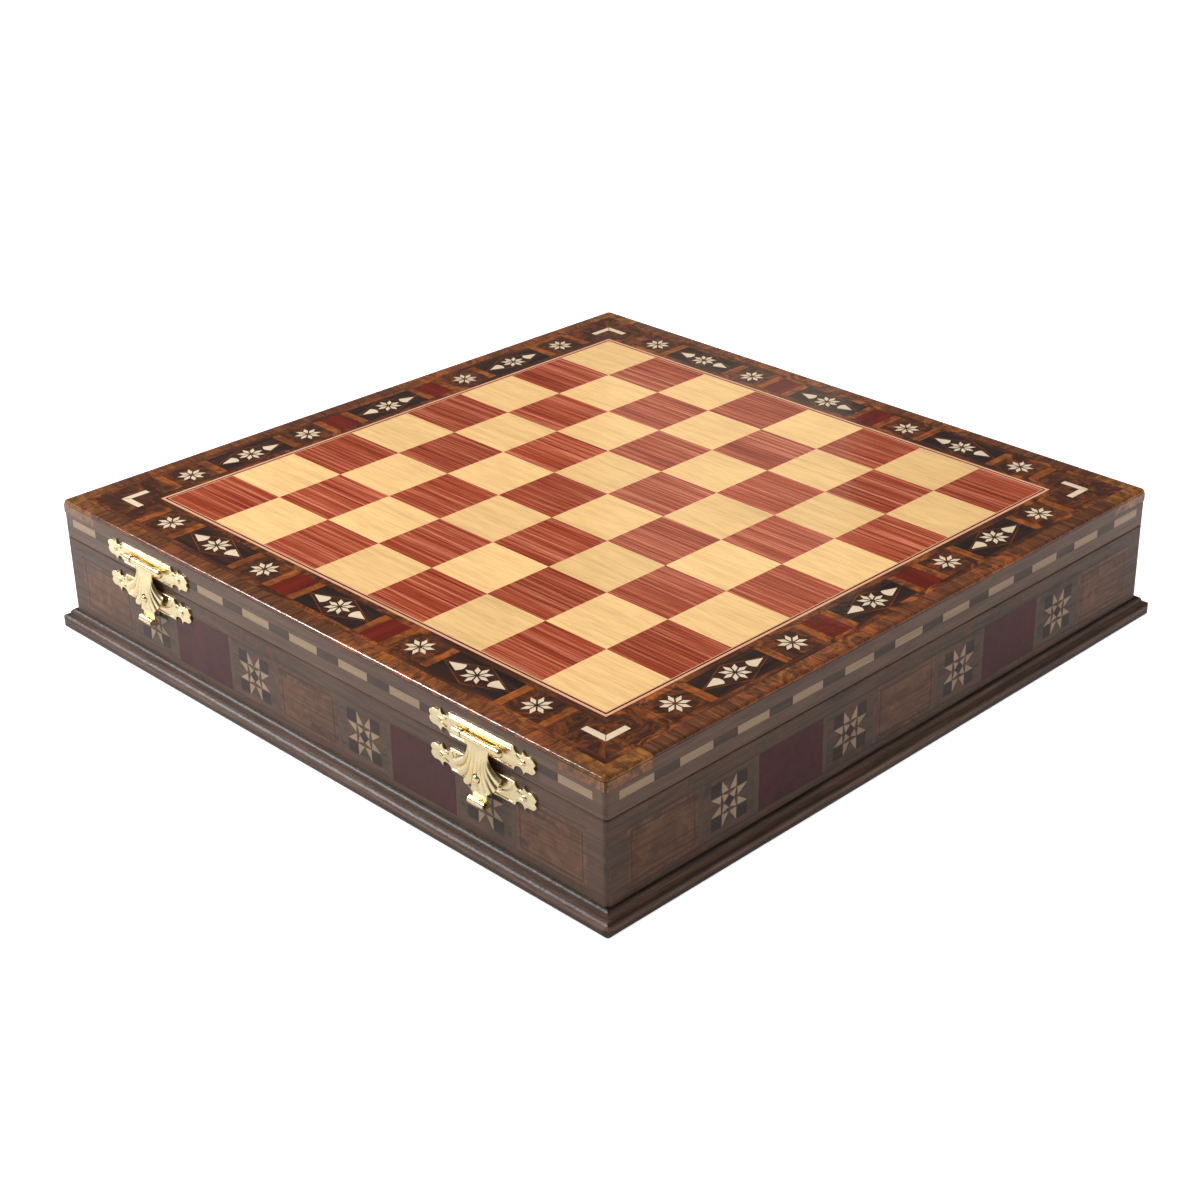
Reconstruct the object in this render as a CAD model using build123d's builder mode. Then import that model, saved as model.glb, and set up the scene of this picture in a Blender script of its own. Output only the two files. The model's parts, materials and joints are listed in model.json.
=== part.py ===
"""A marquetry chess box: a lined case whose hinged lid carries the chess board."""

import os
from math import cos, radians, sin

from build123d import *

# ---------------------------------------------------------------- driving sizes (mm)
# Board and border, counted outwards from the middle of the lid.
square = 40.0               # one chess square
squares_per_side = 8
inner_line = 0.6            # thin pale line beside the squares
dark_line = 0.9             # dark line between the two pale ones
outer_line = 1.5            # broad pale line
inner_band = 4.0            # plain band beside the lines
motif_band = 20.0           # band of stars, lozenges and red tiles
outer_band = 3.5            # plain band outside the motifs
edge_band = 8.5             # banding that carries the rounded edge
corner_cap = 28.0           # light burl at each end of the banding

# Lengths along the motif band, from the middle of a side to its corner.
lozenge_length = 44.0
bar_width = 5.0
red_tile_length = 14.0
star_tile_length = 23.0

# Inlays of the lid.
star_radius = 7.6
star_hub = 1.1              # bare radius at the heart of a star
star_point_width = 2.7
star_point_count = 8
single_star_turn = 22.5     # degrees, of the stars outside the lozenges
drop_base = 9.0             # blunt end of a drop, from the heart of its lozenge
drop_tip = 18.6
drop_shoulder = 10.6
drop_half_width = 3.5
lozenge_line = 0.8          # pale outline of a lozenge
corner_strip_width = 3.6
corner_strip_length = 15.0
corner_strip_inset = 21.5   # from the lid's edge to the outside of the strips
corner_strip_gap = 0.24     # left along the mitre by each half
motif_inset = 22.5          # from the lid's edge to the centre line of the motifs

# Lid.
lid_height = 20.3
top_layer = 2.0             # squares and border tiles
lid_core = 5.0              # panel under the tiles
edge_round = 1.7
corner_round = 2.5
joint_chamfer = 0.35
dash_length = 20.5
dash_height = 4.2
dash_drop = 11.0            # from the top of the lid to the middle of the dashes
dashes_per_side = 11
cheek_height = 4.6          # burl cheek under each corner cap

# Case.
case_height = 52.6          # floor to rim
seam_gap = 0.3              # between the rim and the closed lid
veneer = 1.0
wall_core = 11.0
bottom_panel_thickness = 4.0
base_felt_thickness = 1.0
lining = 1.0
lining_reveal = 3.0         # bare wood left above the lining
divider_thickness = 6.0
divider_height = 34.0
divider_round = 1.8         # along its upper edges
glue_line = 0.06            # between neighbouring tiles of marquetry

# Marquetry of the case's sides.
panel_height = 29.5
panel_drop = 44.0           # from the top of the lid to the middle of the panels
plain_panel_length = 43.6   # burl and red panels
star_cell_length = 39.0     # a star with the pale strips at its two sides
pale_strip_width = 3.0
frame_line = 0.7            # dark line around the panels
frame_line_inset = 2.2      # from the edge of a burl panel to its own dark line
side_star_half = 11.6       # half the width of a side star with its dark squares
side_star_core = 5.3        # half the width of the field inside its dark squares
side_star_diamond = 2.9     # half the diagonal of the dark heart
side_star_line = 0.7        # ground left between its pieces

# Base moulding.
moulding_height = 10.0
moulding_projection = 6.3
moulding_bead = 2.5         # radius of the upper quarter round
moulding_step = 0.7         # groove between the two rounds
moulding_toe = 1.8          # round at the floor
moulding_corner = 4.5       # blunted corner, seen from above

# Latches: a plate on the lid, a plate on the case and a hinged tongue between.
latch_plate_thickness = 1.0
latch_nail_offset = 27.0        # from the middle of a latch to its nails
upper_plate_drop = 11.9         # from the top of the lid to the middle of the plate
lower_plate_drop = 29.6
# A quarter of a plate's outline: the corner of its straight middle, then arcs
# given by a point on the way and their end, out to the tip.
plate_corner = (20.5, 5.8)
plate_arcs = (
    ((21.4, 3.9), (23.4, 3.1)),
    ((25.6, 3.8), (26.2, 6.0)),
    ((27.6, 4.4), (29.6, 3.9)),
    ((32.0, 3.8), (33.4, 2.6)),
    ((33.9, 1.5), (32.9, 0.0)),
)
plate_rib_height = 0.5
plate_rib_width = 1.1
plate_rib_inset = 0.8           # from the straight edges of a plate
plate_rib_half = 19.0
notch_radius = 9.5              # dip in the upper edge of the lower plate
notch_depth = 2.2
barrel_drop = 11.2              # from the top of the lid to the barrel's axis
barrel_standoff = 3.3           # from the face of the lid to the barrel's axis
barrel_radius = 1.9
barrel_length = 18.0
boss_radius = 2.5
boss_length = 7.0
boss_nose = 2.2                 # length of the tapered outer end of a boss
boss_nose_taper = 30            # degrees
boss_gap = 0.3                  # beside the barrel, at each end
latch_pin_radius = 0.8
latch_pin_depth = 4.0           # of each end inside its boss
pin_grip = 0.01                 # around a pin where it is held fast
pin_running = 0.05              # around a pin where a piece turns on it
tongue_thickness = 1.0
tongue_back = 3.2               # from the face of the case to the back of the tongue
tongue_top_half = 9.0           # half width beside the barrel
neck_waist = (6.2, -6.4)        # narrowest place, from the middle of the barrel
shell_shoulder = (14.4, -13.0)  # where the neck meets the shell
neck_foot = (10.0, -17.0)       # inside the shell, where the neck's outline closes
shell_centre_drop = 8.8
shell_radius = 15.3
shell_flutes = 8
shell_flute_bulge = 0.6         # how far each flute bulges past the shell's radius
shell_edge_angle = 16.0         # below level, where the flutes begin
shell_groove_width = 0.7        # between neighbouring flutes
shell_groove_depth = 0.35
shell_groove_start = 5.0        # from the shell's centre
stem_half = 4.6
curl_drop = 30.2
curl_radius = 1.9
curl_bore = 1.0
curl_length = 10.0
curl_standoff = 4.3
stud_drop = 18.2
stud_radius = 1.6
stud_neck = 1.1
stud_height = 5.6               # from the face of the case to the top of the stud
stud_clearance = 0.6            # around the stud in the tongue's hole
nail_radius = 0.65
nail_head_radius = 1.3
nail_head_height = 0.6
nail_head_round = 0.4
nail_depth = 6.0
nail_grip = 0.01

# Hinges: two butt hinges let into the back of the rim.
hinge_offset = 120.0            # from the middle of the back to each hinge
hinge_length = 40.0
hinge_leaf_width = 9.5
hinge_leaf = 1.2
hinge_knuckles = 5
hinge_knuckle_gap = 0.15
hinge_knuckle_radius = 2.3
hinge_pin_radius = 1.0
hinge_clearance = 0.35          # from the back of the box to the knuckles
mortise_clearance = 0.05
screw_radius = 1.1
screw_head_radius = 2.1
screw_length = 7.0
screws_per_leaf = 3
screw_slot_width = 0.6
screw_slot_depth = 0.5
screw_grip = 0.01

# ---------------------------------------------------------------- sizes worked out
board_half = square * squares_per_side / 2
lines_half = board_half + inner_line + dark_line + outer_line
motif_start = lines_half + inner_band
motif_end = motif_start + motif_band
banding_start = motif_end + outer_band
case_half = banding_start + edge_band
core_half = case_half - veneer
inner_half = core_half - wall_core

floor_top = base_felt_thickness + bottom_panel_thickness
lid_bottom = case_height + seam_gap
lid_top = lid_bottom + lid_height
core_top = lid_top - top_layer
core_bottom = core_top - lid_core
lining_half = inner_half - lining

motif_line = case_half - motif_inset
dash_z = lid_top - dash_drop
dash_pitch = (2 * case_half) / dashes_per_side
panel_z = lid_top - panel_drop
star_pitch = plain_panel_length + star_cell_length
latch_offset = 1.5 * star_pitch
upper_plate_z = lid_top - upper_plate_drop
lower_plate_z = lid_top - lower_plate_drop
barrel_z = lid_top - barrel_drop
stud_z = barrel_z - stud_drop

hinge_axis_y = case_half + hinge_knuckle_radius + hinge_clearance
hinge_axis_z = case_height + seam_gap / 2

star_point_middle = (star_hub + star_radius) / 2
quarter_turns = range(4)
side_names = ("front", "right", "back", "left")
two_sides = (-1, 1)


# ---------------------------------------------------------------- planes and helpers
def turned(turn, z=0.0):
    """A level plane at height z whose -Y looks out through side number turn."""
    along = Vector(1, 0, 0).rotate(Axis.Z, 90 * turn)
    return Plane(origin=(0, 0, z), x_dir=along, z_dir=(0, 0, 1))


def side_face(turn, out):
    """An upright plane at distance out on side number turn, facing outwards."""
    outward = Vector(0, -1, 0).rotate(Axis.Z, 90 * turn)
    along = Vector(1, 0, 0).rotate(Axis.Z, 90 * turn)
    return Plane(origin=outward * out, x_dir=along, z_dir=outward)


def all_sides(out):
    return [side_face(turn, out) for turn in quarter_turns]


def all_turns(z):
    return [turned(turn, z) for turn in quarter_turns]


def end_plane(x, y, z, towards=1):
    """A plane that faces along the x axis, for round pieces that run that way."""
    return Plane(origin=(x, y, z), x_dir=(0, 1, 0), z_dir=(towards, 0, 0))


def write(piece, node):
    piece.part.label = node
    export_step(piece.part, f"parts/{node}.step")


def mitred_strip(outer, inner, mode=Mode.ADD):
    """The front strip of a square frame, with half a glue line left at its mitres."""
    slack = glue_line / 2
    Polygon(
        (-(outer - slack), -outer), (outer - slack, -outer),
        (inner - slack, -inner), (-(inner - slack), -inner),
        mode=mode,
    )


def tile(x0, x1, y0, y1, slack=glue_line / 2, mode=Mode.ADD):
    """A rectangle between four lines, with half a glue line taken off all round."""
    with Locations(((x0 + x1) / 2, (y0 + y1) / 2)):
        Rectangle(abs(x1 - x0) - 2 * slack, abs(y1 - y0) - 2 * slack, mode=mode)


def both_ways(*places):
    """The places, and the same places mirrored to the other half of the side."""
    return [(sign * x, y) for x, y in places for sign in two_sides]


def grown(corners, slack):
    """The corners of an anticlockwise outline after its edges move outwards by slack."""
    moved = []
    for number, here in enumerate(corners):
        before = Vector(*corners[number - 1])
        after = Vector(*corners[(number + 1) % len(corners)])
        arriving = (Vector(*here) - before).normalized()
        leaving = (after - Vector(*here)).normalized()
        turn = arriving.X * leaving.Y - arriving.Y * leaving.X
        step = (arriving - leaving) * (slack / turn)
        moved.append((here[0] + step.X, here[1] + step.Y))
    return moved


os.makedirs("parts", exist_ok=True)

# ---------------------------------------------------------------- layout of a border side
# Distances from the middle of a side to the edges of its tiles.
bar_1 = lozenge_length / 2
red_tile_start = bar_1 + bar_width
bar_2 = red_tile_start + red_tile_length
star_tile_1 = bar_2 + bar_width
bar_3 = star_tile_1 + star_tile_length
lozenge_2 = bar_3 + bar_width
bar_4 = lozenge_2 + lozenge_length
star_tile_2 = bar_4 + bar_width
bar_5 = star_tile_2 + star_tile_length
corner_tile = bar_5 + bar_width

bar_starts = (bar_1, bar_2, bar_3, bar_4, bar_5)
star_tile_starts = (star_tile_1, star_tile_2)
single_stars = both_ways(
    *[(start + star_tile_length / 2, -motif_line) for start in star_tile_starts]
)
lozenge_second = lozenge_2 + lozenge_length / 2
lozenge_centres = [(0, -motif_line), *both_ways((lozenge_second, -motif_line))]
lozenge_middle = -(motif_start + motif_end) / 2


def star_points(slack=0.0, mode=Mode.ADD):
    """The eight rhombic points of every star on one side of the border."""
    reach = star_radius + slack
    hub = star_hub - slack
    half_width = star_point_width / 2 + slack
    half_length = (reach - hub) / 2
    corners = ((-half_length, 0), (0, -half_width), (half_length, 0), (0, half_width))
    for places, first_angle in ((single_stars, single_star_turn), (lozenge_centres, 0)):
        with Locations(*places):
            with PolarLocations(star_point_middle, star_point_count, start_angle=first_angle):
                Polygon(*corners, mode=mode)


def drops(slack=0.0, mode=Mode.ADD):
    """A pair of drops at every lozenge star, each pointing away from it."""
    for x, y in lozenge_centres:
        for sign in two_sides:
            tip = (x + sign * (drop_tip + slack), y)
            base = (x + sign * (drop_base - slack), y)
            shoulders = [
                (x + sign * drop_shoulder, y + side * (drop_half_width + slack))
                for side in two_sides
            ]
            with BuildLine() as outline:
                Line(tip, shoulders[0])
                ThreePointArc(shoulders[0], base, shoulders[1])
                Line(shoulders[1], tip)
            make_face(outline.edges(), mode=mode)


def lozenges(slack=0.0, mode=Mode.ADD):
    """The pointed fields that hold a star and its drops."""
    half_length = lozenge_length / 2 - glue_line - slack
    half_height = motif_band / 2 - glue_line - slack
    corners = ((-half_length, 0), (0, -half_height), (half_length, 0), (0, half_height))
    with Locations(*[(x, lozenge_middle) for x, _ in lozenge_centres]):
        Polygon(*corners, mode=mode)


def corner_strips(slack=0.0, mode=Mode.ADD):
    """The two halves of the mitred strips at a side's corners."""
    far = case_half - corner_strip_inset
    near = far - corner_strip_width
    start = far - corner_strip_length
    for sign in two_sides:
        Polygon(
            (sign * (start - slack), -far - slack),
            (sign * (far - corner_strip_gap + slack), -far - slack),
            (sign * (near - corner_strip_gap + slack), -near + slack),
            (sign * (start - slack), -near + slack),
            mode=mode,
        )


# ---------------------------------------------------------------- shared cutters
# The outside of the finished lid, with its rounded corners and top edge.
with BuildPart() as lid_form:
    with BuildSketch(Plane.XY.offset(lid_bottom)):
        RectangleRounded(2 * case_half, 2 * case_half, corner_round)
    extrude(amount=lid_height)
    fillet(lid_form.faces().sort_by(Axis.Z)[-1].edges(), edge_round)
    chamfer(lid_form.faces().sort_by(Axis.Z)[0].edges(), joint_chamfer)

# A fine groove round the lid, under its top layer.
with BuildPart() as joint_groove:
    with BuildSketch(Plane.XY.offset(core_top)):
        Rectangle(2 * case_half, 2 * case_half)
        RectangleRounded(
            2 * (case_half - joint_chamfer), 2 * (case_half - joint_chamfer),
            corner_round, mode=Mode.SUBTRACT,
        )
    extrude(amount=joint_chamfer)

# The outside of the finished case.
with BuildPart() as case_form:
    with BuildSketch(Plane.XY):
        RectangleRounded(2 * case_half, 2 * case_half, corner_round)
    extrude(amount=case_height)
    chamfer(case_form.faces().sort_by(Axis.Z)[-1].edges(), joint_chamfer)

nail_places = [
    sign * latch_offset + end * latch_nail_offset
    for sign in two_sides
    for end in two_sides
]


def nail_shanks(radius, z):
    """Four round shanks through a pair of latch plates and into the front."""
    with BuildSketch(side_face(0, case_half + latch_plate_thickness)) as shanks:
        with Locations(*[(x, z) for x in nail_places]):
            Circle(radius)
    extrude(shanks.sketch, amount=-(latch_plate_thickness + nail_depth))


with BuildPart() as lid_nail_holes:
    nail_shanks(nail_radius + nail_grip, upper_plate_z)

with BuildPart() as case_nail_holes:
    nail_shanks(nail_radius + nail_grip, lower_plate_z)

screw_pitch = hinge_length / screws_per_leaf
screw_y = case_half - hinge_leaf_width / 2
screw_places = [
    (sign * hinge_offset + (number - (screws_per_leaf - 1) / 2) * screw_pitch, screw_y)
    for sign in two_sides
    for number in range(screws_per_leaf)
]


def leaf_screws(leaf_face, inwards, slack=0.0):
    """Countersunk screws, flush with the face of a hinge leaf and driven inwards."""
    with BuildSketch(Plane.XY.offset(leaf_face)) as shanks:
        with Locations(*screw_places):
            Circle(screw_radius + slack)
    extrude(shanks.sketch, amount=inwards * screw_length)
    for x, y in screw_places:
        with BuildSketch(Plane.XY.offset(leaf_face)) as top:
            with Locations((x, y)):
                Circle(screw_head_radius + slack)
        with BuildSketch(Plane.XY.offset(leaf_face + inwards * hinge_leaf)) as neck:
            with Locations((x, y)):
                Circle(screw_radius + slack)
        loft([top.sketch.face(), neck.sketch.face()])


with BuildPart() as lid_screw_holes:
    leaf_screws(lid_bottom, 1, screw_grip)

with BuildPart() as case_screw_holes:
    leaf_screws(case_height, -1, screw_grip)


def hinge_mortises(leaf_face, inwards):
    """The recesses in the back edge that the two leaves lie in."""
    with BuildSketch(Plane.XY.offset(leaf_face)) as recess:
        for sign in two_sides:
            tile(
                sign * hinge_offset - hinge_length / 2,
                sign * hinge_offset + hinge_length / 2,
                case_half - hinge_leaf_width,
                case_half + veneer,
                slack=-mortise_clearance,
            )
    extrude(recess.sketch, amount=inwards * (hinge_leaf + glue_line))


with BuildPart() as lid_mortises:
    hinge_mortises(lid_bottom, 1)

with BuildPart() as case_mortises:
    hinge_mortises(case_height, -1)

# ---------------------------------------------------------------- case: carcass
with BuildPart() as bottom_panel:
    with BuildSketch(Plane.XY.offset(base_felt_thickness)):
        Rectangle(2 * case_half, 2 * case_half)
    extrude(amount=bottom_panel_thickness)
write(bottom_panel, "bottom_panel")

with BuildPart() as base_felt:
    with BuildSketch(Plane.XY):
        Rectangle(2 * (case_half - glue_line), 2 * (case_half - glue_line))
    extrude(amount=base_felt_thickness)
write(base_felt, "base_felt")

for turn, side in enumerate(side_names):
    with BuildPart() as wall:
        with BuildSketch(turned(turn, floor_top)):
            mitred_strip(core_half, inner_half)
        extrude(amount=case_height - floor_top)
        if side == "front":
            add(case_nail_holes.part, mode=Mode.SUBTRACT)
        if side == "back":
            add(case_mortises.part, mode=Mode.SUBTRACT)
            add(case_screw_holes.part, mode=Mode.SUBTRACT)
    write(wall, f"case_wall_{side}")

moulding_half = case_half + moulding_projection
nose_radius = moulding_projection - moulding_bead - moulding_step
bead_foot = moulding_height - moulding_bead
nose_top = bead_foot - moulding_step
for turn, side in enumerate(side_names):
    across = side_face(turn, case_half)
    section = Plane(origin=across.origin, x_dir=across.z_dir, z_dir=-across.x_dir)
    with BuildPart() as moulding:
        with BuildSketch(section):
            with BuildLine():
                Line((0, 0), (0, moulding_height))
                RadiusArc((0, moulding_height), (moulding_bead, bead_foot), moulding_bead)
                Line((moulding_bead, bead_foot), (moulding_bead, nose_top))
                Line((moulding_bead, nose_top), (moulding_bead + moulding_step, nose_top))
                RadiusArc(
                    (moulding_bead + moulding_step, nose_top),
                    (moulding_projection, nose_top - nose_radius),
                    nose_radius,
                )
                Line((moulding_projection, nose_top - nose_radius), (moulding_projection, moulding_toe))
                RadiusArc(
                    (moulding_projection, moulding_toe),
                    (moulding_projection - moulding_toe, 0),
                    moulding_toe,
                )
                Line((moulding_projection - moulding_toe, 0), (0, 0))
            make_face()
        extrude(amount=moulding_half + glue_line, both=True)
        with BuildSketch(turned(turn)):
            mitred_strip(moulding_half + glue_line, case_half)
            RectangleRounded(
                2 * (moulding_half + glue_line), 2 * (moulding_half + glue_line),
                moulding_corner, mode=Mode.INTERSECT,
            )
        extrude(amount=moulding_height, mode=Mode.INTERSECT)
    write(moulding, f"base_moulding_{side}")

with BuildPart() as floor_linings:
    with BuildSketch(Plane.XY.offset(floor_top)):
        for sign in two_sides:
            tile(-inner_half, inner_half, sign * divider_thickness / 2, sign * inner_half)
    extrude(amount=lining)
write(floor_linings, "floor_linings")

with BuildPart() as wall_linings:
    with BuildSketch(Plane.XY.offset(floor_top + lining)):
        Rectangle(2 * inner_half, 2 * inner_half)
        Rectangle(2 * lining_half, 2 * lining_half, mode=Mode.SUBTRACT)
        for turn in quarter_turns:
            with Locations(Location((0, 0, 0), (0, 0, 90 * turn))):
                Polygon(
                    (-inner_half, -inner_half), (-lining_half, -lining_half),
                    (glue_line - lining_half, -lining_half),
                    (glue_line - inner_half, -inner_half),
                    mode=Mode.SUBTRACT,
                )
    extrude(amount=case_height - lining_reveal - floor_top - lining)
    with BuildSketch(Plane.XY.offset(floor_top + lining)):
        Rectangle(2 * inner_half, divider_thickness + 2 * glue_line)
    extrude(amount=divider_height - lining + glue_line, mode=Mode.SUBTRACT)
write(wall_linings, "wall_linings")

with BuildPart() as divider:
    with BuildSketch(Plane.XY.offset(floor_top)):
        Rectangle(2 * inner_half, divider_thickness)
    extrude(amount=divider_height)
    fillet(divider.faces().sort_by(Axis.Z)[-1].edges().filter_by(Axis.X), divider_round)
write(divider, "divider")

# ---------------------------------------------------------------- case: marquetry
star_cells = [sign * (count + 0.5) * star_pitch for sign in two_sides for count in (0, 1)]
red_panels_at = [sign * star_pitch for sign in two_sides]
burl_panels_at = [-2 * star_pitch, 0, 2 * star_pitch]
strip_places = [
    cell + side * (star_cell_length - pale_strip_width) / 2
    for cell in star_cells
    for side in two_sides
]
star_places = [(cell, panel_z) for cell in star_cells]
panel_row_half = 2 * star_pitch + plain_panel_length / 2


def panels(places, length, slack=glue_line / 2, mode=Mode.ADD):
    """Upright panels of one length at these places along a side."""
    with Locations(*[(x, panel_z) for x in places]):
        Rectangle(length - 2 * slack, panel_height - 2 * slack, mode=mode)


def frame_lines(slack=0.0, mode=Mode.ADD):
    """Dark lines above and below the whole row of panels."""
    for side in two_sides:
        with Locations((0, panel_z + side * (panel_height + frame_line) / 2)):
            Rectangle(2 * panel_row_half + 2 * slack, frame_line - glue_line + 2 * slack, mode=mode)


def panel_rings(slack=0.0, mode=Mode.ADD):
    """The dark line inside each burl panel."""
    outer_length = plain_panel_length - 2 * frame_line_inset
    outer_height = panel_height - 2 * frame_line_inset
    for x in burl_panels_at:
        with BuildSketch() as ring:
            Rectangle(outer_length + 2 * slack, outer_height + 2 * slack)
            Rectangle(
                outer_length - 2 * (frame_line + slack),
                outer_height - 2 * (frame_line + slack),
                mode=Mode.SUBTRACT,
            )
        add(ring.sketch.moved(Location((x, panel_z))), mode=mode)


def side_star_squares(slack=0.0, mode=Mode.ADD):
    """Four dark squares and a dark diamond in every side star."""
    size = side_star_half - side_star_core + 2 * slack
    reach = (side_star_half + side_star_core) / 2
    heart = side_star_diamond + slack
    with Locations(*star_places):
        with GridLocations(2 * reach, 2 * reach, 2, 2):
            Rectangle(size, size, mode=mode)
        Polygon((heart, 0), (0, heart), (-heart, 0), (0, -heart), mode=mode)


def side_star_points(slack=0.0, mode=Mode.ADD):
    """Eight outer points and four inner points in every side star."""
    edge = side_star_core - side_star_line
    shift = side_star_line / 2
    base = side_star_diamond + side_star_line
    outer = grown(
        ((-edge, side_star_half), (-edge, side_star_core), (-shift, side_star_core + shift)),
        slack,
    )
    inner = grown(((shift, base - shift), (base - shift, shift), (edge, edge)), slack)
    with Locations(*star_places):
        for turn in quarter_turns:
            with Locations(Location((0, 0, 0), (0, 0, 90 * turn))):
                Polygon(*outer, mode=mode)
                Polygon(*[(-x, y) for x, y in outer], mode=mode)
                Polygon(*inner, mode=mode)


with BuildPart() as case_veneer:
    for turn in quarter_turns:
        with BuildSketch(turned(turn, floor_top)):
            mitred_strip(case_half, core_half)
        extrude(amount=case_height - floor_top)
    add(case_form.part, mode=Mode.INTERSECT)
    with BuildSketch(*all_sides(case_half)):
        panels(burl_panels_at, plain_panel_length, slack=0)
        panels(red_panels_at, plain_panel_length, slack=0)
        panels(strip_places, pale_strip_width, slack=0)
        frame_lines(slack=glue_line)
        side_star_squares(slack=glue_line)
        side_star_points(slack=glue_line)
    extrude(amount=-veneer, mode=Mode.SUBTRACT)
    add(case_nail_holes.part, mode=Mode.SUBTRACT)
    add(case_mortises.part, mode=Mode.SUBTRACT)
write(case_veneer, "case_side_veneer")

with BuildPart() as burl_panels:
    with BuildSketch(*all_sides(case_half)):
        panels(burl_panels_at, plain_panel_length)
        panel_rings(slack=glue_line, mode=Mode.SUBTRACT)
    extrude(amount=-veneer)
    add(case_nail_holes.part, mode=Mode.SUBTRACT)
write(burl_panels, "case_burl_panels")

with BuildPart() as red_panels:
    with BuildSketch(*all_sides(case_half)):
        panels(red_panels_at, plain_panel_length)
    extrude(amount=-veneer)
    add(case_nail_holes.part, mode=Mode.SUBTRACT)
write(red_panels, "case_red_panels")

with BuildPart() as pale_strips:
    with BuildSketch(*all_sides(case_half)):
        panels(strip_places, pale_strip_width)
    extrude(amount=-veneer)
    add(case_nail_holes.part, mode=Mode.SUBTRACT)
write(pale_strips, "case_pale_strips")

with BuildPart() as panel_lines:
    with BuildSketch(*all_sides(case_half)):
        frame_lines()
        panel_rings()
    extrude(amount=-veneer)
    add(case_nail_holes.part, mode=Mode.SUBTRACT)
write(panel_lines, "case_panel_lines")

with BuildPart() as dark_squares:
    with BuildSketch(*all_sides(case_half)):
        side_star_squares()
    extrude(amount=-veneer)
write(dark_squares, "case_star_squares")

with BuildPart() as case_points:
    with BuildSketch(*all_sides(case_half)):
        side_star_points()
    extrude(amount=-veneer)
write(case_points, "case_star_points")

# ---------------------------------------------------------------- lid: carcass
with BuildPart() as lid_panel:
    with BuildSketch(Plane.XY.offset(core_bottom)):
        Rectangle(2 * core_half, 2 * core_half)
    extrude(amount=lid_core)
write(lid_panel, "lid_panel")

for turn, side in enumerate(side_names):
    with BuildPart() as rail:
        with BuildSketch(turned(turn, lid_bottom)):
            mitred_strip(core_half, inner_half)
        extrude(amount=core_bottom - lid_bottom)
        if side == "front":
            add(lid_nail_holes.part, mode=Mode.SUBTRACT)
        if side == "back":
            add(lid_mortises.part, mode=Mode.SUBTRACT)
            add(lid_screw_holes.part, mode=Mode.SUBTRACT)
    write(rail, f"lid_rail_{side}")

with BuildPart() as lid_lining:
    with BuildSketch(Plane.XY.offset(core_bottom)):
        Rectangle(2 * (inner_half - glue_line), 2 * (inner_half - glue_line))
    extrude(amount=-lining)
write(lid_lining, "lid_lining")

# ---------------------------------------------------------------- lid: sides
dash_places = [
    (number - (dashes_per_side - 1) / 2) * dash_pitch for number in range(dashes_per_side)
]
block_places = [place + dash_pitch / 2 for place in dash_places[:-1]]
cheek_start = case_half - corner_cap
cheek_bottom = core_top - cheek_height


def side_row(places, length, slack=0.0, mode=Mode.ADD):
    """Low tiles of one length in the inlaid row round the lid."""
    with Locations(*[(x, dash_z) for x in places]):
        Rectangle(length + 2 * slack, dash_height + 2 * slack, mode=mode)


def cheeks(slack=0.0, mode=Mode.ADD):
    """Burl cheeks under the corner caps, on both ends of a side."""
    for sign in two_sides:
        tile(
            sign * cheek_start, sign * (case_half - veneer),
            cheek_bottom, core_top, slack=glue_line / 2 - slack, mode=mode,
        )


block_length = dash_pitch - dash_length - 2 * glue_line

with BuildPart() as lid_veneer:
    for turn in quarter_turns:
        with BuildSketch(turned(turn, lid_bottom)):
            mitred_strip(case_half, core_half)
        extrude(amount=core_top - lid_bottom)
    add(lid_form.part, mode=Mode.INTERSECT)
    with BuildSketch(*all_sides(case_half)):
        side_row(dash_places, dash_length, slack=glue_line)
        side_row(block_places, block_length, slack=glue_line)
        cheeks(slack=glue_line)
    extrude(amount=-veneer, mode=Mode.SUBTRACT)
    add(lid_nail_holes.part, mode=Mode.SUBTRACT)
    add(lid_mortises.part, mode=Mode.SUBTRACT)
write(lid_veneer, "lid_side_veneer")

with BuildPart() as side_dashes:
    with BuildSketch(*all_sides(case_half)):
        side_row(dash_places, dash_length)
    extrude(amount=-veneer)
    add(lid_nail_holes.part, mode=Mode.SUBTRACT)
write(side_dashes, "lid_side_dashes")

with BuildPart() as side_blocks:
    with BuildSketch(*all_sides(case_half)):
        side_row(block_places, block_length)
    extrude(amount=-veneer)
    add(lid_nail_holes.part, mode=Mode.SUBTRACT)
write(side_blocks, "lid_side_blocks")

# ---------------------------------------------------------------- lid: chess board
first_square = -board_half + square / 2
light_places = []
red_places = []
for column in range(squares_per_side):
    for row in range(squares_per_side):
        centre = (first_square + column * square, first_square + row * square)
        if (column + row) % 2 == 0:
            red_places.append(centre)
        else:
            light_places.append(centre)

for places, node in ((light_places, "light_squares"), (red_places, "red_squares")):
    with BuildPart() as squares:
        with BuildSketch(Plane.XY.offset(core_top)):
            with Locations(*places):
                Rectangle(square - glue_line, square - glue_line)
        extrude(amount=top_layer)
    write(squares, node)


def top_strips(*rings):
    """Square frames of four mitred strips each, as thick as the top layer."""
    with BuildSketch(*all_turns(core_top)) as strips:
        for outer, inner in rings:
            mitred_strip(outer - glue_line / 2, inner + glue_line / 2)
    extrude(strips.sketch, amount=top_layer)


dark_inside = board_half + inner_line
dark_outside = dark_inside + dark_line
with BuildPart() as pale_lines:
    top_strips((dark_inside, board_half), (lines_half, dark_outside))
write(pale_lines, "board_pale_lines")

with BuildPart() as dark_lines:
    top_strips((dark_outside, dark_inside))
write(dark_lines, "board_dark_line")

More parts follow.
